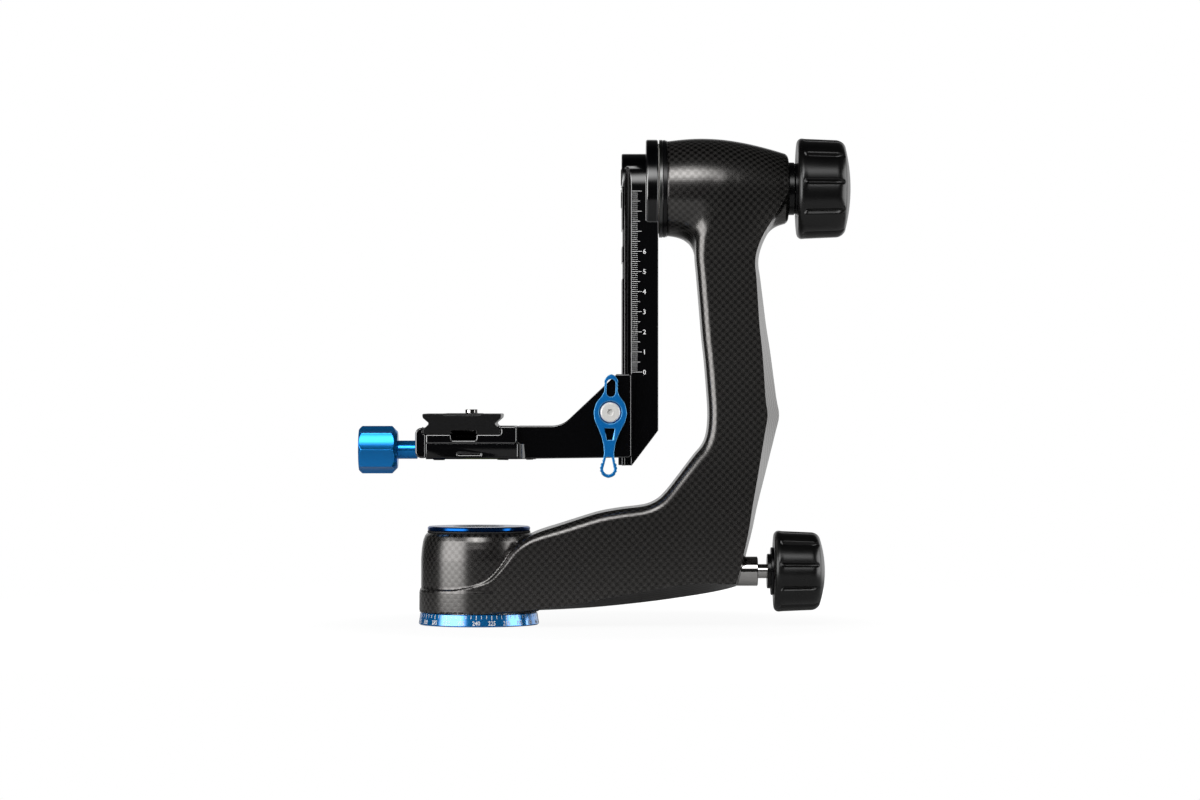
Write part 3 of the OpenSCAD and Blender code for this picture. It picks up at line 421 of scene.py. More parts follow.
@dataclass(frozen=True)
class PlainWeave:
    """Matte plain-weave carbon cloth, laid by the weave attribute in millimetres, with painted sheen in the
    contrast of its light and dark tows.
    """

    name: str = "carbon_weave"
    tow: tuple[float, float] = (1.95, 2.0)
    # light and dark: the checker is the cloth's own, but their difference is partly painted sheen, standing
    # in for how warp and weft reflect
    light: Colour = (0.023, 0.0220, 0.0210)
    dark: Colour = (0.0012, 0.0012, 0.0012)
    tint: Colour = (1.0, 0.965, 0.935)
    sharpness: float = 0.85
    roughness: float = 0.22
    sheen: float = 0.5
    depth: float = 6e-6

    def build(self) -> bpy.types.Material:
        """Makes the material, light where the warp lies on top and dark where the weft does, a contrast that
        is partly painted sheen for how the two tow directions reflect.

        Returns:
            The material.
        """
        g = Skin(self.name)
        u, v, shown = g.split(g.node("ShaderNodeAttribute", {"attribute_name": "weave"}, None, "Vector"))
        wave = (u * (math.pi / self.tow[0])).sine() * (v * (math.pi / self.tow[1])).sine() * shown
        over = (wave * self.sharpness + 0.5).clamped()
        g.set(
            # painted sheen: the tows on top take the light colour, the others the dark
            base_color=g.mix(over, self.dark, self.light),
            roughness=self.roughness + 0.03 * (1.0 - over),
            coat_weight=over * self.sheen,
            coat_roughness=self.roughness,
            ior_level=1.0,
            ior=1.6,
            specular_tint=self.tint,
        )
        g.bump(wave.absolute() ** 0.5, self.depth)
        return g.material


@dataclass(frozen=True)
class Print:
    """Opaque ink."""

    name: str
    colour: Colour
    roughness: float = 0.5

    def build(self) -> bpy.types.Material:
        """Makes the material.

        Returns:
            The material.
        """
        g = Skin(self.name)
        speck = g.noise(4000.0)
        g.set(base_color=g.mottled(speck, self.colour, 0.9), roughness=self.roughness)
        g.bump(speck, 4e-6)
        return g.material


@dataclass(frozen=True)
class Liquid:
    """Tinted liquid under a clear window."""

    name: str
    colour: Colour

    def build(self) -> bpy.types.Material:
        """Makes the material.

        Returns:
            The material.
        """
        g = Skin(self.name)
        tint = g.mottled(g.noise(120.0), self.colour, 0.85)
        g.set(base_color=tint, roughness=0.08, coat_weight=1.0, coat_roughness=0.02)
        return g.material


# ---- meshes ----


def placed(name: str, data: bpy.types.ID) -> bpy.types.Object:
    """Puts an object in the scene.

    Args:
        name: its name.
        data: its mesh, curve, camera or lamp data.

    Returns:
        The object.
    """
    made = bpy.data.objects.new(name, data)
    bpy.context.scene.collection.objects.link(made)
    return made


def new_piece(
    name: str,
    points: Iterable[Sequence[float]],
    faces: Iterable[Sequence[int]],
    body: str,
    material: bpy.types.Material,
    smooth: bool = True,
) -> bpy.types.Object:
    """Makes a mesh piece and puts it on a body.

    Args:
        name: name of the piece.
        points: corners in the head's frame, in millimetres.
        faces: corner numbers of each face.
        body: the CAD body that it rides on.
        material: its material.
        smooth: whether its faces are shaded smooth.

    Returns:
        The object.
    """
    mesh = bpy.data.meshes.new(name)
    mesh.from_pydata([tuple(c * MM for c in p) for p in points], [], [tuple(f) for f in faces])
    mesh.validate()
    mesh.materials.append(material)
    mesh.polygons.foreach_set("use_smooth", [smooth] * len(mesh.polygons))
    piece = placed(name, mesh)
    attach(piece, body)
    LOG.info("%s: %d faces on %s", name, len(mesh.polygons), body)
    return piece


def smooth_through(rows: Sequence[Sequence[float]], steps: int) -> np.ndarray:
    """Catmull-Rom curve through rows of numbers.

    Args:
        rows: one row for each point, any number of columns.
        steps: points made for each stretch.

    Returns:
        The denser rows.
    """
    table = np.array(rows, float)
    padded = np.vstack([table[0], table, table[-1]])
    t = np.arange(steps)[:, None] / steps
    stretches = []
    for a, b, c, d in zip(padded, padded[1:], padded[2:], padded[3:]):
        square = 2 * a - 5 * b + 4 * c - d
        cube = 3 * b - a - 3 * c + d
        stretches.append(0.5 * (2 * b + (c - a) * t + square * t ** 2 + cube * t ** 3))
    return np.vstack([*stretches, table[-1:]])


def eased(rows: Sequence[tuple[float, float]], reach: int, step: float = 0.5) -> np.ndarray:
    """Straight stretches between rows, with their corners eased.

    Args:
        rows: rows of (place, value).
        reach: half width of the easing, in steps.
        step: distance between the rows that are returned.

    Returns:
        Dense rows of (place, value).
    """
    table = np.array(rows, float)
    places = np.arange(table[0, 0], table[-1, 0], step)
    values = np.interp(places, *table.T)
    kernel = np.ones(2 * reach + 1) / (2 * reach + 1)
    for _ in range(2):
        values = np.convolve(np.pad(values, reach, "edge"), kernel, "valid")
    return np.column_stack([places, values])


def depth_inside(polygon: np.ndarray, x: np.ndarray, z: np.ndarray) -> tuple[np.ndarray, np.ndarray]:
    """Signed depth of points inside a closed polygon, and where along it the nearest edge lies.

    Args:
        polygon: its corners, one row each.
        x: first coordinates of the points.
        z: second coordinates of the points.

    Returns:
        Depth, positive inside, and the nearest place as a corner number with a fraction.
    """
    best = np.full(x.shape, np.inf)
    where = np.zeros(x.shape)
    inside = np.zeros(x.shape, bool)
    for i, (a, b) in enumerate(zip(polygon, np.roll(polygon, -1, 0))):
        edge = b - a
        t = np.clip(((x - a[0]) * edge[0] + (z - a[1]) * edge[1]) / (edge @ edge), 0, 1)
        gap = np.hypot(x - a[0] - t * edge[0], z - a[1] - t * edge[1])
        near = gap < best
        best = np.where(near, gap, best)
        where = np.where(near, i + t, where)
        crosses = (a[1] > z) != (b[1] > z)
        if edge[1] != 0:
            inside ^= crosses & (x < a[0] + edge[0] * (z - a[1]) / edge[1])
    return np.where(inside, best, -best), where


def surface_net(values: np.ndarray, origin: np.ndarray, step: float) -> tuple[np.ndarray, np.ndarray]:
    """Closed quad mesh where a field sampled on a grid changes sign.

    Args:
        values: the field, negative inside.
        origin: place of the first sample.
        step: distance between samples.

    Returns:
        Points and quads, wound to face outwards.
    """
    inside = values < 0
    size = np.array(values.shape) - 1
    corners = list(np.ndindex(2, 2, 2))
    filled = sum(inside[i:size[0] + i, j:size[1] + j, k:size[2] + k].astype(np.int8) for i, j, k in corners)
    cells = np.argwhere((filled > 0) & (filled < 8))
    ids = np.full(filled.shape, -1, np.int64)
    ids[tuple(cells.T)] = np.arange(len(cells))
    sample = [values[tuple((cells + corner).T)] for corner in corners]
    total = np.zeros((len(cells), 3))
    hits = np.zeros(len(cells))
    for a, corner in enumerate(corners):
        for axis in range(3):
            if corner[axis]:
                continue
            start, end = sample[a], sample[a | (4, 2, 1)[axis]]
            crosses = (start < 0) != (end < 0)
            share = np.where(crosses, start / np.where(crosses, start - end, 1.0), 0.0)
            place = np.tile(np.array(corner, float), (len(cells), 1))
            place[:, axis] += share
            total += place * crosses[:, None]
            hits += crosses
    points = origin + (cells + total / hits[:, None]) * step
    quads = []
    for axis in range(3):
        one, two = np.eye(3, dtype=int)[(axis + 1) % 3], np.eye(3, dtype=int)[(axis + 2) % 3]
        lower, upper = (
            inside[tuple(cut if a == axis else slice(1, -1) for a in range(3))]
            for cut in (slice(0, -1), slice(1, None))
        )
        at = np.argwhere(lower != upper)
        out = lower[tuple(at.T)]
        at = at + np.array([0 if a == axis else 1 for a in range(3)])
        ring = np.stack([ids[tuple((at - s).T)] for s in (0 * one, one, one + two, two)], 1)
        quads.append(np.where(out[:, None], ring, ring[:, ::-1]))
    return points, np.vstack(quads)


# ---- the carbon arm ----


@dataclass
class CarbonArm:
    """The moulded side arm: pan hub, bent slab and tilt hub, blended into one skin."""

    layout: Layout
    material: bpy.types.Material
    grid: float = 1.0
    grid_low: tuple[float, float, float] = (-31.987, -31.987, 4.013)
    grid_span: tuple[float, float, float] = (192.0, 64.0, 242.0)
    table_step: float = 0.5
    table_low: tuple[float, float] = (-34.0, 2.0)
    table_high: tuple[float, float] = (160.0, 248.0)
    hub_r: float = 29.0
    band_r: float = 29.5
    band_z: float = 17.4
    hub_z: tuple[float, float] = (6.4, 46.2)
    hub_x: tuple[float, float] = (94.3, 155.0)
    hub_from_z: float = 150.0
    cap_r: float = 25.9
    spine: float = 3.0
    # bores from below and from the left: radius and where each ends
    pan_bores: tuple = ((19.0, 60.0), (23.6, 10.0))
    tilt_bores: tuple = ((19.0, 134.0), (14.0, 147.0))
    # fillet at the tilt hub by x, and how much of it is left by y; fillet at the pan hub
    blend_x: tuple = ((112.0, 128.0), (12.0, 3.0))
    blend_y: tuple = ((8.0, 22.0), (1.0, 0.45))
    blend_pan: float = 1.5
    # inner edge: x, z, rounding of the front corner
    inner: tuple = (
        (-60, 17.2, 0.5), (-26, 17.4, 0.5), (-11, 17.9, 0.5), (-2, 19.8, 0.7), (6, 23.2, 1.2),
        (12.5, 30.4, 2.0), (18.3, 39.0, 3.2), (24.5, 44.2, 4.2), (31.1, 47.2, 4.8), (40.6, 50.2, 5.2),
        (50.2, 53.3, 5.4), (60.2, 56.3, 5.4), (70.5, 58.2, 5.4), (79.7, 59.3, 5.2), (85, 60.4, 5.0),
        (90, 63.0, 5.0), (94.3, 67.3, 5.0), (99.3, 73.7, 5.0), (103.8, 79.7, 5.0), (108.2, 85.4, 5.0),
        (111.4, 89.2, 5.0), (113.5, 93.4, 5.0), (114.6, 99, 5.0), (114.9, 106, 5.0), (114.5, 114, 5.0),
        (113.1, 131.5, 5.0), (111.8, 143.5, 5.0), (110.8, 155.6, 5.0), (109.8, 167.6, 5.0),
        (109.0, 177, 5.0), (108.5, 182, 5.0), (108.3, 188, 5.4), (108.4, 196, 6.6), (109.4, 206, 9.0),
        (111, 217, 12.0), (112, 232, 13.0), (112, 260, 13.0),
    )
    # outer edge: x, z, width of the facet on the front corner
    outer: tuple = (
        (-60, 6.4, 0.2), (-10, 6.6, 0.2), (14, 6.8, 0.6), (28, 7.1, 1.4), (43, 7.7, 2.8),
        (61, 8.9, 4.6), (84, 11.3, 6.4), (103, 13.9, 6.8), (117, 16.2, 5.2), (126.5, 18.4, 2.6),
        (129.6, 20.0, 2.0), (131.2, 24.5, 1.9), (133.9, 35.2, 2.0), (136.9, 47.2, 2.4),
        (139.4, 59.3, 3.0), (142.4, 71.3, 3.9), (145.4, 83.3, 4.9), (148.4, 95.4, 5.9),
        (150.4, 104.6, 6.5), (149.0, 113.4, 6.1), (147.4, 125.5, 5.3), (145.8, 137.5, 4.6),
        (143.9, 149.5, 4.0), (142.4, 161.6, 3.3), (140.9, 173.6, 2.6), (140.0, 180, 2.3),
        (140.6, 186, 2.1), (143.4, 193.4, 2.0), (148.2, 201, 2.2), (152.0, 207.6, 2.2),
        (154.4, 212.4, 2.0), (156.4, 218, 2.0), (158, 226, 2.0), (158, 260, 2.0),
    )
    # half depth of the slab along the lower arm, by x, and up the column, by z
    half_low: tuple = (
        (-60, 29.6), (0, 29.6), (6, 29.6), (12.5, 29.45), (18.5, 29.0), (26, 28.3), (41, 26.8),
        (60, 25.0), (79, 23.5), (90, 22.6), (102, 22.0), (260, 22.0),
    )
    half_up: tuple = (
        (-60, 22.0), (76, 22.0), (98, 21.5), (106, 21.3), (136, 20.8), (158, 20.8), (178, 21.2),
        (187, 21.6), (260, 21.8),
    )
    # the slab's faces flow into the tilt hub from merge_z up, sunk by so much by x, and close above its axis
    merge_z: float = 188.0
    merge_sunk: tuple = ((114.0, 130.0), (2.4, 0.3))
    merge_top: float = 0.72
    merge_end: float = 152.0
    merge_fall: float = 40.0
    slab_end: float = 154.6
    # radius of the tilt hub along its axis
    barrel: tuple = (
        (90, 23.4), (94.5, 23.8), (102.8, 24.7), (111.4, 25.1), (121.7, 24.6), (131.9, 23.1),
        (142.1, 20.8), (152.0, 18.0), (153.6, 17.4), (154.6, 16.4), (155.0, 15.2), (156.0, 12.0),
    )
    # radius of the pan hub by height
    drum: tuple = (
        (0, 29.5), (17.0, 29.5), (17.9, 29.0), (33, 29.0), (38.2, 28.6), (42.2, 27.9), (44.6, 27.0),
        (45.8, 26.0), (46.3, 25.2), (50, 20.0),
    )
    # left of this x the skin has no crisp creases
    soft_x: float = 32.0
    largest_move: float = 0.6
    # a slope under this beside a point tells of a crease
    crease_slope: float = 0.975
    # how far inside its face a corner's normal is taken, and the reach of its samples, soft and crisp
    inset: float = 0.4
    reaches: tuple[float, float] = (0.5, 0.15)
    # the cloth rolls on to the tilt hub between these heights, at this radius
    roll_z: tuple[float, float] = (192.0, 208.0)
    roll_r: float = 25.0
    # no weave within the first distance of the seam round the pan hub, all of it past the second
    seam: tuple[float, float] = (0.15, 0.45)
    seam_x: float = 2.0

    def __post_init__(self) -> None:
        """Works out the depth tables of the slab's side view."""
        low, high = np.array(self.table_low), np.array(self.table_high)
        count = ((high - low) / self.table_step).astype(int) + 1
        axes = [start + np.arange(n) * self.table_step for start, n in zip(low, count)]
        x, z = np.meshgrid(*axes, indexing="ij")
        near, far = -60.0, 300.0
        rows = []
        for edge, frame_corners in (
            (self.inner, ((far, far), (far, -100.0), (near, -100.0))), (self.outer, ((near, far),)),
        ):
            dense = smooth_through(edge, 4)
            depth, at = depth_inside(np.vstack([dense[:, :2], frame_corners]), x, z)
            rows += [depth, np.interp(at, np.arange(len(dense)), dense[:, 2])]
        self.table = np.stack(rows)
        self.halves = (eased(self.half_low, 2), eased(self.half_up, 5))
        self.column_half = self.half_up[0][1]
        self.barrel_rows = smooth_through(self.barrel, 8)
        self.drum_rows = np.array(self.drum, float)

    def side_view(self, x: np.ndarray, z: np.ndarray) -> np.ndarray:
        """Reads the side view's tables.

        Args:
            x: first coordinates of the points.
            z: heights of the points.

        Returns:
            Inner depth, inner rounding, outer depth and facet width at the points.
        """
        fx = np.clip((x - self.table_low[0]) / self.table_step, 0, self.table.shape[1] - 1.001)
        fz = np.clip((z - self.table_low[1]) / self.table_step, 0, self.table.shape[2] - 1.001)
        i, k = fx.astype(int), fz.astype(int)
        a, c = fx - i, fz - k
        t = self.table
        return (
            t[:, i, k] * (1 - a) * (1 - c) + t[:, i + 1, k] * a * (1 - c)
            + t[:, i, k + 1] * (1 - a) * c + t[:, i + 1, k + 1] * a * c
        )

    def plain_half(self, x: np.ndarray, z: np.ndarray) -> np.ndarray:
        """Half depth of the slab, front to back, as if it ran on past the tilt hub."""
        low, up = self.halves
        return np.interp(x, *low.T) + np.interp(z, *up.T) - self.column_half

    def half_depth(self, x: np.ndarray, z: np.ndarray) -> np.ndarray:
        """Half depth of the slab where it flows into the tilt hub and closes inside its upper half.

        Args:
            x: first coordinates of the points.
            z: heights of the points.

        Returns:
            The half depths.
        """
        half = self.plain_half(x, z)
        radius = np.interp(np.minimum(x, self.merge_end), *self.barrel_rows.T)
        radius = radius - np.interp(x, *self.merge_sunk)
        tall = z - self.layout.tilt_z
        t = np.clip((z - self.merge_z) / (self.layout.tilt_z - self.merge_z), 0, 1)
        share = t * t * (3 - 2 * t)
        rise = tall / (self.merge_top * radius)
        over = radius * np.sqrt(np.clip(1 - rise ** 2, 0, 1)) - self.merge_fall * np.maximum(rise - 1, 0)
        return np.where(tall > 0, over, half * (1 - share) + radius * share)

    def parts(self, p: np.ndarray) -> tuple[np.ndarray, np.ndarray, np.ndarray]:
        """Distances to the slab, the pan hub and the tilt hub.

        Args:
            p: points, one row each, in millimetres.

        Returns:
            Three distances, negative inside.
        """
        x, y, z = p[:, 0], np.abs(p[:, 1]), p[:, 2]
        inner, rounding, outer, facet = self.side_view(x, z)
        face = y - self.half_depth(x, z)
        corner = np.minimum(np.maximum(face, -inner), -rounding) + np.hypot(
            np.maximum(face + rounding, 0), np.maximum(rounding - inner, 0)
        )
        slope = (self.plain_half(x, z) - self.spine) / np.maximum(facet, 0.05)
        bevel = (y - self.spine - slope * outer) / np.hypot(1.0, slope)
        slab = np.maximum(np.maximum(corner, bevel), -outer)
        lift = np.hypot(x, y)
        slab = np.maximum(slab, np.where(x < 0, lift - self.band_r, x - self.slab_end))
        pan = np.maximum(lift - np.interp(z, *self.drum_rows.T), self.beyond(z, self.hub_z))
        bore = np.hypot(y, z - self.layout.tilt_z)
        tilt = np.maximum(bore - np.interp(x, *self.barrel_rows.T), self.beyond(x, self.hub_x))
        return slab, pan, tilt

    @staticmethod
    def beyond(values: np.ndarray, ends: tuple[float, float]) -> np.ndarray:
        """How far values lie beyond a stretch, negative within it."""
        return np.abs(values - (ends[0] + ends[1]) / 2) - (ends[1] - ends[0]) / 2

    @staticmethod
    def join(a: np.ndarray, b: np.ndarray, reach: Any) -> np.ndarray:
        """Union of two distances with a fillet of about that reach."""
        share = np.clip(0.5 + 0.5 * (b - a) / reach, 0, 1)
        return b * (1 - share) + a * share - reach * share * (1 - share)

    def distance(self, p: np.ndarray) -> np.ndarray:
        """Distance to the arm's skin.

        Args:
            p: points, one row each, in millimetres.

        Returns:
            The distances, negative inside.
        """
        slab, pan, tilt = self.parts(p)
        x, y, z = p.T
        reach = np.interp(x, *self.blend_x) * np.interp(np.abs(y), *self.blend_y)
        body = self.join(self.join(slab, tilt, reach), pan, self.blend_pan)
        lift = np.hypot(x, y)
        bore = np.hypot(y, z - self.layout.tilt_z)
        body = np.maximum(body, self.hub_z[0] - z)
        body = np.maximum(body, np.minimum(z - self.hub_z[1], self.cap_r - lift))
        body = np.where(z < self.hub_from_z, body, np.maximum(body, self.hub_x[0] - x))
        for radius, top in self.pan_bores:
            body = np.maximum(body, -np.maximum(lift - radius, z - top))
        for radius, end in self.tilt_bores:
            body = np.maximum(body, -np.maximum(bore - radius, x - end))
        return body

    def gradient(self, p: np.ndarray, reach: Any) -> np.ndarray:
        """Slope of the distance.

        Args:
            p: points, one row each, in millimetres.
            reach: half the distance between the samples, one for all or one for each point.

        Returns:
            The slopes, one row each.
        """
        slope = np.empty_like(p)
        wide = np.broadcast_to(np.asarray(reach, float), len(p))
        for axis in range(3):
            shift = np.zeros_like(p)
            shift[:, axis] = wide
            slope[:, axis] = (self.distance(p + shift) - self.distance(p - shift)) / (2 * wide)
        return slope

    def snapped(self, points: np.ndarray, reach: float = 0.5, hold: float = 0.02) -> np.ndarray:
        """Moves points beside a crease on to it.

        Args:
            points: points on the skin, one row each.
            reach: distance of the eight samples round each point.
            hold: weight that keeps a point where it is.

        Returns:
            The points.
        """
        slopes = np.linalg.norm(self.gradient(points, 0.8), axis=1)
        near = (slopes < self.crease_slope) & (points[:, 0] > self.soft_x)
        start = points[near]
        square = np.tile(np.eye(3) * hold, (len(start), 1, 1))
        right = start * hold
        for shift in np.ndindex(2, 2, 2):
            sample = start + (np.array(shift) * 2 - 1) * reach
            slope = self.gradient(sample, 0.1)
            size = np.maximum(np.linalg.norm(slope, axis=1, keepdims=True), 0.05)
            normal = slope / size
            level = (normal * sample).sum(1, keepdims=True) - self.distance(sample)[:, None] / size
            square += normal[:, :, None] * normal[:, None, :]
            right += normal * level
        moved = np.linalg.solve(square, right[:, :, None])[:, :, 0]
        result = points.copy()
        result[near] = start + np.clip(moved - start, -self.largest_move, self.largest_move)
        return result

    def normals(self, points: np.ndarray, reach: Any) -> np.ndarray:
        """Slope of the distance, made one long."""
        slope = self.gradient(points, reach)
        return slope / np.maximum(np.linalg.norm(slope, axis=1, keepdims=True), 1e-6)

    def corner_normals(self, points: np.ndarray, quads: np.ndarray) -> np.ndarray:
        """Normals of each face's corners, taken a little inside the face so that creases stay crisp.

        Args:
            points: the skin's points.
            quads: its faces.

        Returns:
            One normal for each corner of each face.
        """
        corners = points[quads]
        middles = corners.mean(1, keepdims=True)
        inset = (corners * (1 - self.inset) + middles * self.inset).reshape(-1, 3)
        soft = (inset[:, 0] < self.soft_x) | (np.abs(inset[:, 0] - self.hub_x[0]) < 1.0)
        return self.normals(inset, np.where(soft, *self.reaches))

    def weave_places(self, p: np.ndarray, normals: np.ndarray) -> np.ndarray:
        """Lays the carbon cloth.

        Args:
            p: the skin's points, one row each.
            normals: their normals.

        Returns:
            For each point the place along the two tows, in millimetres, and how much weave shows.
        """
        slab, pan, _ = self.parts(p)
        x, y, z = p.T
        drop = np.maximum(self.half_depth(x, z) - np.abs(y), 0)
        flat = np.stack([x + normals[:, 0] * drop, z + normals[:, 2] * drop], 1)
        angle = np.arctan2(z - self.layout.tilt_z, np.abs(y))
        round_tilt = np.stack([x, self.layout.tilt_z + self.roll_r * angle], 1)
        share = np.interp(z, self.roll_z, (0.0, 1.0))[:, None]
        cloth = flat * (1 - share) + round_tilt * share
        high = z > self.pan_bores[0][1]
        round_pan = np.stack([self.hub_r * np.arctan2(x, -y), z], 1)
        cloth = np.where((((pan < slab) | (x < 0)) & ~high)[:, None], round_pan, cloth)
        seam = np.interp(np.abs(pan - slab), self.seam, (0.0, 1.0))
        seam = np.where(high | (z < self.band_z) | (x < self.seam_x), 1.0, seam)
        return np.column_stack([cloth, seam])

    def build(self) -> bpy.types.Object:
        """Skins the arm and puts it in place of the CAD arm.

        Returns:
            The piece.
        """
        count = (np.array(self.grid_span) / self.grid).astype(int) + 1
        axes = [low + np.arange(n) * self.grid for low, n in zip(self.grid_low, count)]
        values = np.empty(count)
        y, z = np.meshgrid(axes[1], axes[2], indexing="ij")
        for i, x in enumerate(axes[0]):
            p = np.column_stack([np.full(y.size, x), y.ravel(), z.ravel()])
            values[i] = self.distance(p).reshape(y.shape)
        points, quads = surface_net(values, np.array(self.grid_low), self.grid)
        for _ in range(3):
            slope = self.gradient(points, 0.2)
            size = np.maximum((slope ** 2).sum(1, keepdims=True), 0.2)
            move = self.distance(points)[:, None] * slope / size
            points -= np.clip(move, -self.largest_move, self.largest_move)
        points = self.snapped(points)
        piece = new_piece("carbon_arm", points, quads, "arm", self.material)
        cloth = piece.data.attributes.new("weave", "FLOAT_VECTOR", "POINT")
        cloth.data.foreach_set("vector", self.weave_places(points, self.normals(points, 0.3)).ravel())
        piece.data.normals_split_custom_set(self.corner_normals(points, quads).tolist())
        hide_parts("arm_shell")
        return piece


# ---- moulded grips ----


@dataclass
class LobedGrip:
    """A rubber grip with narrow grooves between its lobes, turned about X."""

    name: str
    node: str
    body: str
    height: float
    core_r: float
    shoulder: float
    material: bpy.types.Material
    lip: float = 2.5
    taper: float = 0.026
    dome: float = 2.2
    lobes: int = 10
    groove_depth: float = 1.5
    groove_half: float = 1.1
    bulge: float = 0.7
    phase: float = 276.0
    around: int = 30
    # rounding of the hole's rim, and what is left open in the middle of the end
    rim: float = 0.6
    tip_r: float = 0.02
    # the grooves deepen over a ninth of the side and fade over the shoulder's first degrees
    deepening: float = 9.0
    fade_degrees: float = 48.0
    fade_power: float = 0.7

    def profile(self, length: float, radius: float) -> tuple[np.ndarray, np.ndarray]:
        """Half section from the rim of the core hole to the middle of the domed end.

        Args:
            length: length of the grip.
            radius: its largest radius.

        Returns:
            Rows of (distance along X, radius) and how much of a groove each row takes.
        """
        fall = length * self.taper
        lip, shoulder = self.lip, self.shoulder
        core_r, rim = self.core_r, self.rim
        rows = [(rim, core_r, 0.0), (0.0, core_r + rim, 0.0), (0.0, (core_r + radius) / 2, 0.0)]
        for a in np.radians(np.arange(0, 91, 15)):
            rows.append((lip - lip * math.cos(a), radius - lip + lip * math.sin(a), 0.0))
        shoulder_x = length - self.dome - shoulder
        for t in np.linspace(0.04, 1, 22):
            fade = math.sin(min(t * self.deepening, 1.0) * math.pi / 2) ** 2
            rows.append((lip + (shoulder_x - lip) * t, radius - fall * t, fade))
        for a in np.radians(np.arange(8, 66, 8)):
            fade = max(0.0, 1 - a / math.radians(self.fade_degrees)) ** self.fade_power
            drop = shoulder * (1 - math.cos(a))
            rows.append((shoulder_x + shoulder * math.sin(a), radius - fall - drop, fade))
        end_x, end_r, _ = rows[-1]
        for t in np.linspace(0.12, 1, 9):
            domed = (length - end_x) * (1 - (1 - t) ** 2)
            rows.append((end_x + domed, end_r * (1 - t) + self.tip_r, 0.0))
        table = np.array(rows)
        return table[:, :2], table[:, 2]

    def build(self) -> bpy.types.Object:
        """Makes the grip over the CAD node's own length and radius.

        Returns:
            The piece.
        """
        low, high = (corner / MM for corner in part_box(self.node))
        radius = (high.y - low.y) / 2
        section, fade = self.profile(high.x - low.x, radius)
        turns = self.lobes * self.around
        angles = np.arange(turns) * 2 * math.pi / turns
        groove = ((angles - math.radians(self.phase)) * self.lobes / (2 * math.pi) + 0.5) % 1.0 - 0.5
        offset = np.abs(groove) * 2 * math.pi * radius / self.lobes
        cut = np.sqrt(np.maximum(1 - (offset / self.groove_half) ** 2, 0))
        depth = self.groove_depth * cut + self.bulge * (1 - 2 * np.abs(groove)) ** 2
        points = []
        for (x, r), share in zip(section, fade):
            ring = r - share * depth
            height = self.height + ring * np.cos(angles)
            points += np.column_stack([np.full(turns, low.x + x), ring * np.sin(angles), height]).tolist()
        last = (len(section) - 1) * turns
        faces = [
            (i + j, i + (j + 1) % turns, i + turns + (j + 1) % turns, i + turns + j)
            for i in range(0, last, turns) for j in range(turns)
        ]
        faces.append(tuple(range(last, last + turns)))
        piece = new_piece(self.name, points, faces, self.body, self.material)
        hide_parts(self.node)
        return piece


# ---- printed scales ----


class Scale:
    """Marks and numerals laid flat as thin ink and then wrapped on a surface."""

    # height of a digit against the type's size, and how much the ink spreads against that height
    digit_share = 0.7
    ink_spread = 0.022

    def __init__(self) -> None:
        """Starts with no ink."""
        self.points: list[tuple[float, float]] = []
        self.faces: list[tuple[int, ...]] = []

    def bar(self, u: float, v: float, width: float, height: float) -> None:
        """Adds an upright bar.

        Args:
            u: place of its middle.
            v: place of its foot.
            width: its width.
            height: its height.
        """
        n = len(self.points)
        left, right, top = u - width / 2, u + width / 2, v + height
        self.points += [(left, v), (right, v), (right, top), (left, top)]
        self.faces.append((n, n + 1, n + 2, n + 3))

    def numeral(self, text: str, u: float, v: float, height: float, squeeze: float = 0.9) -> None:
        """Adds a number.

        Args:
            text: the digits.
            u: place of its middle across.
            v: place up, at half the height of a digit.
            height: height of a digit.
            squeeze: width of a digit against its normal one.
        """
        curve = bpy.data.curves.new("digits", "FONT")
        curve.body = text
        curve.size = height / self.digit_share
        curve.align_x = "CENTER"
        curve.resolution_u = 2
        curve.offset = height * self.ink_spread
        holder = placed("digits", curve)
        mesh = bpy.data.meshes.new_from_object(holder.evaluated_get(bpy.context.evaluated_depsgraph_get()))
        n = len(self.points)
        self.points += [(u + p.co.x * squeeze, v + p.co.y - height / 2) for p in mesh.vertices]
        self.faces += [tuple(n + i for i in f.vertices) for f in mesh.polygons]
        bpy.data.objects.remove(holder)
        bpy.data.meshes.remove(mesh)


@dataclass
class DegreeDial:
    """White degree marks and numbers round the cone of the base."""

    ink: bpy.types.Material
    foot_r: float = 30.1
    top_r: float = 29.3
    foot_z: float = 0.6
    top_z: float = 5.8
    mark_top: float = 5.7
    # height and width of the marks, every 5 and every 15 degrees
    short_mark: tuple[float, float] = (1.6, 0.30)
    long_mark: tuple[float, float] = (2.1, 0.36)
    zero_turn: float = 239.1
    digit: float = 2.1
    digit_z: float = 1.95
    lift: float = 0.05

    def build(self) -> bpy.types.Object:
        """Wraps one full turn of marks on the dial.

        Returns:
            The piece.
        """
        scale = Scale()
        around = math.radians(1) * self.top_r
        for degree in range(0, 360, 5):
            height, width = self.short_mark if degree % 15 else self.long_mark
            scale.bar(degree * around, self.mark_top - height, width, height)
        for degree in range(0, 360, 15):
            scale.numeral(str(degree), -degree * around, self.digit_z, self.digit, 0.85)
        wrapped = []
        for u, v in scale.points:
            turn = math.radians(self.zero_turn) + u / self.top_r
            share = (v - self.foot_z) / (self.top_z - self.foot_z)
            radius = self.foot_r + (self.top_r - self.foot_r) * share + self.lift
            wrapped.append((radius * math.sin(turn), -radius * math.cos(turn), v))
        return new_piece("dial_marks", wrapped, scale.faces, "base", self.ink, smooth=False)


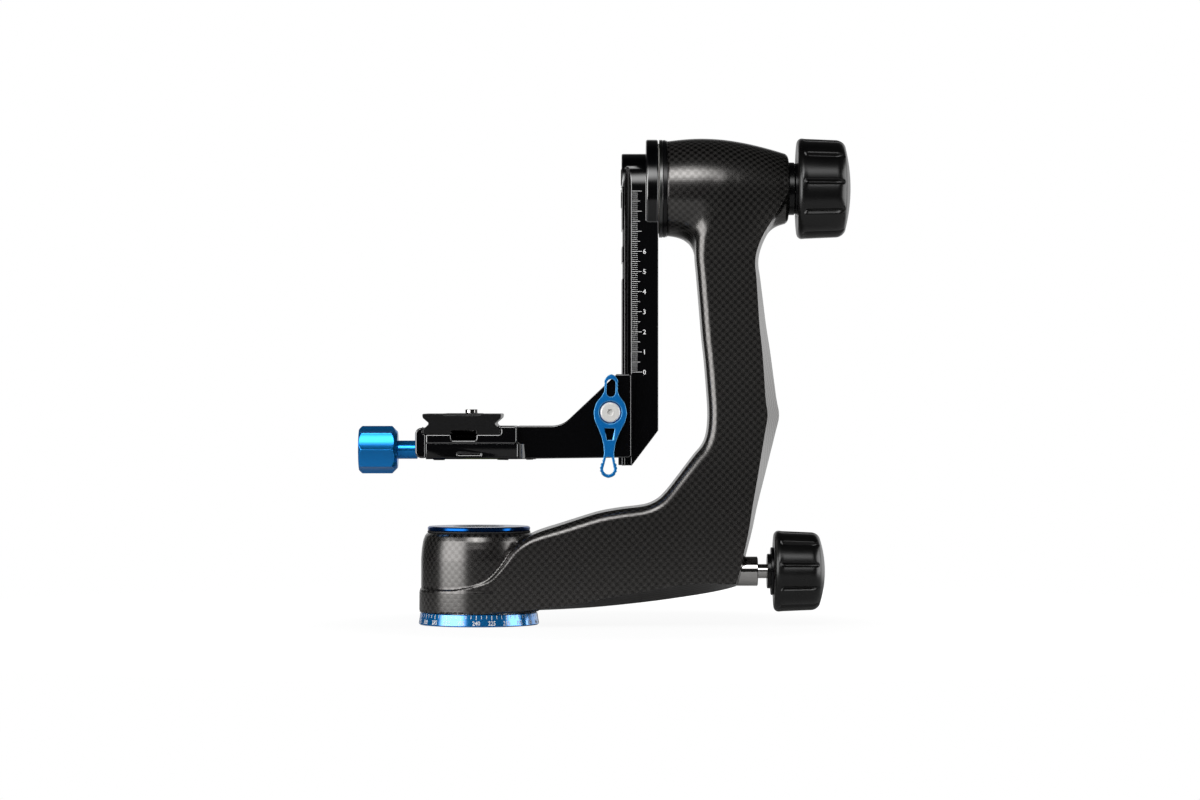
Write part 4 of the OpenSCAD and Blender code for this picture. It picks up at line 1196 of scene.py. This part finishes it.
@dataclass
class RailRule:
    """White millimetre rule on the front face of the rail."""

    ink: bpy.types.Material
    face_y: float = -17.5
    edge_x: float = 76.7
    zero_z: float = 126.3
    length: int = 90
    last_number: int = 6
    # length of the marks at whole, half and other centimetres, and width of each fifth and of the others
    reaches: tuple[float, float, float] = (4.8, 3.9, 2.7)
    widths: tuple[float, float] = (0.22, 0.14)
    digit: float = 2.3
    digit_x: float = 82.8
    lift: float = 0.02

    def build(self) -> bpy.types.Object:
        """Lays the rule on the rail.

        Returns:
            The piece.
        """
        scale = Scale()
        for mark in range(self.length + 1):
            rank = 0 if mark % 10 == 0 else 1 if mark % 5 == 0 else 2
            width = self.widths[rank == 2]
            scale.bar(-(self.zero_z + mark), self.edge_x, width, self.reaches[rank])
        flat = [(v, -u) for u, v in scale.points]
        faces = [tuple(reversed(f)) for f in scale.faces]
        digits = Scale()
        for number in range(self.last_number + 1):
            digits.numeral(str(number), self.digit_x, self.zero_z + number * 10, self.digit, 1.0)
        faces += [tuple(i + len(flat) for i in f) for f in digits.faces]
        points = [(x, self.face_y - self.lift, z) for x, z in flat + digits.points]
        return new_piece("rail_rule", points, faces, "swing", self.ink, smooth=False)


# ---- dressing the CAD nodes ----


@dataclass
class CadDresser:
    """Gives each carried-over CAD node its finish and broken edges."""

    layout: Layout
    # how near two corners are welded, up to which angle faces count as one, and how much large faces count
    weld_gap: float = 0.000002
    flat_degrees: float = 0.4
    face_weight: int = 60
    made: dict[Any, bpy.types.Material] = field(default_factory=dict)

    def finish(self, finish: Any) -> bpy.types.Material:
        """Makes the material of a finish, or finds it if it is there.

        Args:
            finish: the finish.

        Returns:
            Its material.
        """
        if finish not in self.made:
            self.made[finish] = finish.build(self.layout) if isinstance(finish, Turned) else finish.build()
        return self.made[finish]

    def dress(
        self, node: str, finish: Any, edge: float = 0.0, edge_highlight_finish: Any = None, steep: float = 38.0,
    ) -> None:
        """Gives a node its material and a small bevel.

        Args:
            node: name of the CAD node.
            finish: its finish.
            edge: width of the bevel in millimetres, 0 for none.
            edge_highlight_finish: lighter finish of the bevels, partly cut edge and partly painted highlight,
                or None for the same one.
            steep: angle between two faces, in degrees, from which their edge is bevelled.
        """
        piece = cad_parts[node]
        piece.data.materials.clear()
        piece.data.materials.append(self.finish(finish))
        if edge > 0:
            flat = math.radians(self.flat_degrees)
            self.modify(piece, "weld", "WELD", merge_threshold=self.weld_gap)
            self.modify(piece, "flatten", "DECIMATE", decimate_type="DISSOLVE", angle_limit=flat)
            bevel = self.modify(
                piece, "edges", "BEVEL", width=edge * MM, segments=3, use_clamp_overlap=False,
                limit_method="ANGLE", angle_limit=math.radians(steep), miter_outer="MITER_ARC",
            )
            # the bevels' own lighter finish paints a highlight on the edges
            if edge_highlight_finish is not None:
                piece.data.materials.append(self.finish(edge_highlight_finish))
                bevel.material = 1
            self.modify(piece, "shade", "WEIGHTED_NORMAL", weight=self.face_weight)
        LOG.info("%s dressed", node)

    @staticmethod
    def modify(piece: bpy.types.Object, name: str, kind: str, **settings: Any) -> bpy.types.Modifier:
        """Adds a modifier.

        Args:
            piece: the object.
            name: name of the modifier.
            kind: its type.
            settings: its attributes, set in this order.

        Returns:
            The modifier.
        """
        made = piece.modifiers.new(name, kind)
        for key, value in settings.items():
            setattr(made, key, value)
        return made


# ---- studio ----


@dataclass(frozen=True)
class Lamp:
    """A soft lamp that faces the head and fades towards its edges.

    It stands at azimuth degrees from the camera's side, positive to the right, elevation degrees up and
    distance metres away. size is its width and height in metres, radiance the brightness of its middle,
    where 1 is white, core the share of its half width that is fully lit, and tall how much its height
    counts in the fading, 0 for a fade from side to side alone.
    """

    name: str
    azimuth: float
    elevation: float
    distance: float
    size: tuple[float, float]
    radiance: float
    core: float
    tall: float = 0.0

    def build(self, centre: Vector) -> None:
        """Sets the lamp up.

        Args:
            centre: the point that it faces.
        """
        data = bpy.data.lights.new(self.name, "AREA")
        data.shape = "RECTANGLE"
        data.size, data.size_y = self.size
        data.energy = self.radiance * math.pi * data.size * data.size_y
        g = Graph(data)
        spot = g.node("ShaderNodeNewGeometry", output="Parametric")
        scaled = g.between("MULTIPLY", spot, (2.0, 2.0 * self.tall, 0.0))
        out = g.between("DISTANCE", scaled, (1.0, self.tall, 0.0), "Value")
        fade = g.ramp(out, (self.core, 1.0, 1.0, 0.0))
        g.end("ShaderNodeOutputLight", g.node("ShaderNodeEmission", None, {"Strength": fade}))
        a, e = math.radians(self.azimuth), math.radians(self.elevation)
        aim = Vector((math.sin(a) * math.cos(e), -math.cos(a) * math.cos(e), math.sin(e)))
        holder = placed(self.name, data)
        holder.location = centre + aim * self.distance
        holder.rotation_euler = aim.to_track_quat("Z", "Y").to_euler()
        holder.visible_camera = False


LAMPS = (
    Lamp("left_box", -54.0, 6.0, 1.3, (1.6, 1.1), 3.6, 0.45),
    Lamp("right_box", 86.0, 6.0, 1.3, (1.7, 1.1), 2.9, 0.6),
    Lamp("front_strip", -8.0, 35.0, 1.6, (1.6, 1.2), 6.0, 0.05, 1.0),
    Lamp("right_rim", 141.0, 4.0, 1.6, (1.1, 1.3), 0.3, 0.7),
)


@dataclass
class Studio:
    """White floor and background, soft lamps and the photograph's camera, in metres."""

    centre: tuple[float, float, float] = (0.0607, 0.0, 0.115)
    camera_distance: float = 2.04
    camera_height: float = 0.1124
    lens: float = 122.04
    sensor: float = 36.0
    # the floor: its radius, grey in the lamps' light, own glow, and how much glow shows by distance
    floor_r: float = 0.42
    floor_middle: tuple[float, float, float] = (0.06, 0.0, -0.0004)
    floor_sides: int = 96
    floor_grey: float = 0.35
    floor_glow: float = 1.23
    floor_stops: tuple = (0.10, 0.34, 0.75, 1.0)
    # the world: even fill, and the card that gloss shows, by depth, side and height of the direction
    fill: float = 0.25
    behind_stops: tuple = (0.25, 0.75, 0.012, 0.64)
    side_stops: tuple = (-0.62, -0.32, 0.05, 1.0)
    height_stops: tuple = (0.22, 0.55, 1.0, 0.04)

    def camera(self) -> None:
        """Makes the camera that the photograph was taken with."""
        data = bpy.data.cameras.new("camera")
        data.sensor_width = self.sensor
        data.lens = self.lens
        data.clip_start = 0.05
        data.clip_end = 60.0
        holder = placed("camera", data)
        holder.location = (self.centre[0], -self.camera_distance, self.camera_height)
        holder.rotation_euler = (math.radians(90), 0.0, 0.0)
        bpy.context.scene.camera = holder

    def world(self) -> None:
        """White behind the head for the eye, a card low behind it for gloss, and an even fill."""
        world = bpy.data.worlds.new("studio")
        bpy.context.scene.world = world
        g = Graph(world)
        across, back, up = g.split(g.place("Generated"))
        card = g.ramp(back, self.behind_stops) * g.ramp(across, self.side_stops)
        card = card * g.ramp(up.absolute(), self.height_stops)
        seen = g.node("ShaderNodeBackground", None, {"Color": WHITE})
        gloss = g.node("ShaderNodeBackground", None, {"Color": WHITE, "Strength": card})
        fill = g.node("ShaderNodeBackground", None, {"Color": (self.fill,) * 3})
        lit = g.blend(g.ray("Is Glossy Ray"), fill, gloss)
        g.end("ShaderNodeOutputWorld", g.blend(g.ray("Is Camera Ray"), lit, seen))

    def floor(self) -> None:
        """A white floor that keeps a faint shadow."""
        x, y, z = self.floor_middle
        turns = [2 * math.pi * i / self.floor_sides for i in range(self.floor_sides)]
        rim = [(x + self.floor_r * math.cos(t), y + self.floor_r * math.sin(t), z) for t in turns]
        mesh = bpy.data.meshes.new("floor")
        mesh.from_pydata(rim, [], [tuple(range(self.floor_sides))])
        material = bpy.data.materials.new("floor")
        g = Graph(material)
        far = g.between("DISTANCE", g.place(), (x, y, 0.0), "Value")
        share = g.ray("Is Camera Ray") * g.ramp(far, self.floor_stops)
        lit = g.node("ShaderNodeBsdfDiffuse", None, {"Color": (self.floor_grey,) * 3})
        glow = g.node("ShaderNodeEmission", None, {"Strength": self.floor_glow})
        g.end("ShaderNodeOutputMaterial", g.blend(share, lit, glow))
        mesh.materials.append(material)
        placed("floor", mesh)

    def build(self) -> None:
        """Sets the whole studio up."""
        bpy.context.scene.view_settings.view_transform = "Standard"
        self.camera()
        self.world()
        self.floor()
        for lamp in LAMPS:
            lamp.build(Vector(self.centre))


# ---- the whole head ----


BLUE = Anodised("blue_anodised", (0.007, 0.27, 0.85), 0.26, 0.6, coat=0.3)
BLUE_DEEP = Anodised("blue_anodised_deep", (0.004, 0.09, 0.36), 0.14, 0.95)
# lighter copy of the blue finish for the bevels: partly bare cut edge, partly painted highlight
BLUE_EDGE_HIGHLIGHT = Anodised("blue_cut_edge_highlight", (0.10, 0.42, 0.80), 0.22, 0.6, coat=0.3)
BLACK = Anodised("black_anodised", (0.0020, 0.0020, 0.0023), 0.28, 0.0, ior_level=0.8)
BLACK_SMOOTH = Anodised("black_anodised_smooth", (0.001, 0.001, 0.0014), 0.15, 0.0, ior_level=0.8, grain=6e-7)
# glossier, slightly lighter copy of the black finish for the bevels: partly cut edge, partly painted
# highlight
BLACK_EDGE_HIGHLIGHT = Anodised("black_cut_edge_highlight", (0.003, 0.003, 0.004), 0.16, 0.0, ior_level=1.0, ior=1.9, grain=6e-7)
SATIN_STEEL = Anodised("satin_steel", (0.88, 0.87, 0.85), 0.30, 0.3)
BLUE_KNOB = Turned("blue_knob", (0.012, 0.30, 0.86), 0.22, Axis.CLAMP, depth=6e-7, metallic=0.8, coat=0.15)
BLUE_DIAL = Turned("blue_turned", (0.012, 0.34, 0.95), 0.16, depth=8e-7, metallic=0.7, coat=0.8, coat_ior=2.3)
BLACK_TURNED = Turned("black_turned", (0.0025, 0.0025, 0.0030), 0.24, depth=1.2e-6, metallic=0.0)
STEEL = Turned("turned_steel", (0.50, 0.50, 0.51), 0.28)
POLISHED = Turned("polished_steel", (0.88, 0.86, 0.84), 0.07, depth=3e-7)
DARK_STEEL = Turned("dark_steel", (0.16, 0.16, 0.16), 0.26)
ALLOY = Turned("bare_alloy", (0.66, 0.66, 0.66), 0.24)
BRONZE = Turned("turned_bronze", (0.50, 0.34, 0.16), 0.3)
RUBBER = Moulded("grip_rubber", (0.0018, 0.0018, 0.0018), 0.29, grain=2e-6, ior_level=0.7)
SOFT = Moulded("pad_rubber", (0.010, 0.010, 0.010), 0.62, grain=4e-5, grain_scale=1800.0)
PLASTIC = Moulded("black_plastic", (0.012, 0.012, 0.012), 0.35)
NYLON = Moulded("white_nylon", (0.70, 0.69, 0.64), 0.45)
FIBRE = Moulded("friction_fibre", (0.20, 0.12, 0.07), 0.75, grain=6e-5, grain_scale=1200.0)
WHITE_INK = Print("white_ink", (0.82, 0.82, 0.82))
LIQUID = Liquid("level_liquid", (0.42, 0.60, 0.05))


def finishes() -> tuple[tuple, ...]:
    """Says which finish each CAD node takes.

    Returns:
        Rows of a finish, the names of its nodes, and where they have bevels their width in millimetres,
        finish and angle; a bevel finish that differs is a lighter copy, partly cut edge and partly painted
        highlight.
    """
    pan, tilt, lock, clamp, camera = Axis.PAN, Axis.TILT, Axis.PAN_LOCK, Axis.CLAMP, Axis.CAMERA
    return (
        (STEEL.about(pan), (
            "pan_lower_inner_race", "pan_upper_inner_race", "pan_lower_outer_race", "pan_upper_outer_race",
            "pan_balls", "pan_drum", "spindle_nut", "tripod_bush", "dial_screws", "clamp_base_screws",
        )),
        (STEEL.about(tilt), (
            "tilt_left_inner_race", "tilt_right_inner_race", "tilt_left_outer_race", "tilt_right_outer_race",
            "tilt_balls", "shaft_retainer", "flange_screws", "tilt_shaft", "tilt_pressure_plate",
        )),
        (STEEL.about(lock), ("pan_push_rod",)),
        (STEEL.about(Axis.LEVER), ("jaw_washers",)),
        (STEEL.about(clamp), ("clamp_screw",)),
        (POLISHED.about(lock), ("lock_bushing", "pan_knob_stud")),
        (POLISHED.about(tilt), ("tilt_knob_stud",)),
        (POLISHED.about(clamp), ("clamp_guide_pins",)),
        (POLISHED.about(camera), ("camera_screw", "d_ring")),
        (ALLOY.about(pan), ("pan_spindle", "pan_sleeve")),
        (ALLOY.about(tilt), ("tilt_sleeve",)),
        (BRONZE.about(lock), ("pan_brake_shoe",)),
        (DARK_STEEL.about(tilt), ("trim_ring",)),
        (BLACK_TURNED.about(tilt), ("hub_ring", "tilt_neck", "tilt_knob_core")),
        (BLACK_TURNED.about(lock), ("pan_knob_core",)),
        (BLUE_DIAL.about(pan), ("base_dial",)),
        (BLUE_KNOB, ("clamp_knob",), 0.3),
        (BLUE_DEEP, ("cap_ring",)),
        # a bevel finish here and below is a lighter copy that paints a highlight on the edges
        (BLUE, ("lever",), 0.35, BLUE_EDGE_HIGHLIGHT),
        (BLACK, ("arm_shell",)),
        (BLACK, ("rail_stop", "qr_plate"), 0.25),
        (BLACK_SMOOTH, ("swing_rail",), 0.35, BLACK_EDGE_HIGHLIGHT),
        (BLACK_SMOOTH, ("bracket_arm", "rail_jaw"), 0.5, BLACK_EDGE_HIGHLIGHT, 60.0),
        (BLACK_SMOOTH, ("clamp_base", "clamp_jaw"), 0.8, BLACK_EDGE_HIGHLIGHT),
        (SATIN_STEEL, ("lever_screw",), 0.2),
        (RUBBER, ("pan_knob_grip", "tilt_knob_grip")),
        (SOFT, ("base_pad", "cap_seal", "plate_pad")),
        (PLASTIC, ("level_cup",)),
        (LIQUID, ("level_vial",)),
        (NYLON, ("tilt_washer", "lever_washer")),
        (FIBRE, ("tilt_brake_pad",)),
    )


def main() -> None:
    """Builds the studio and dresses every piece of the head."""
    logging.basicConfig(level=logging.INFO, format="%(name)s: %(message)s")
    layout = Layout.from_frame()
    Studio().build()
    dresser = CadDresser(layout)
    for finish, nodes, *edges in finishes():
        for node in nodes:
            dresser.dress(node, finish, *edges)
    CarbonArm(layout, PlainWeave().build()).build()
    rubber = dresser.finish(RUBBER)
    LobedGrip("tilt_grip", "tilt_knob_grip", "tilt_knob", layout.tilt_z, 14.0, 5.5, rubber).build()
    LobedGrip("pan_grip", "pan_knob_grip", "pan_knob", layout.lock_z, 11.0, 5.0, rubber, phase=282.0).build()
    ink = WHITE_INK.build()
    DegreeDial(ink).build()
    RailRule(ink).build()


if __name__ == "__main__":
    main()
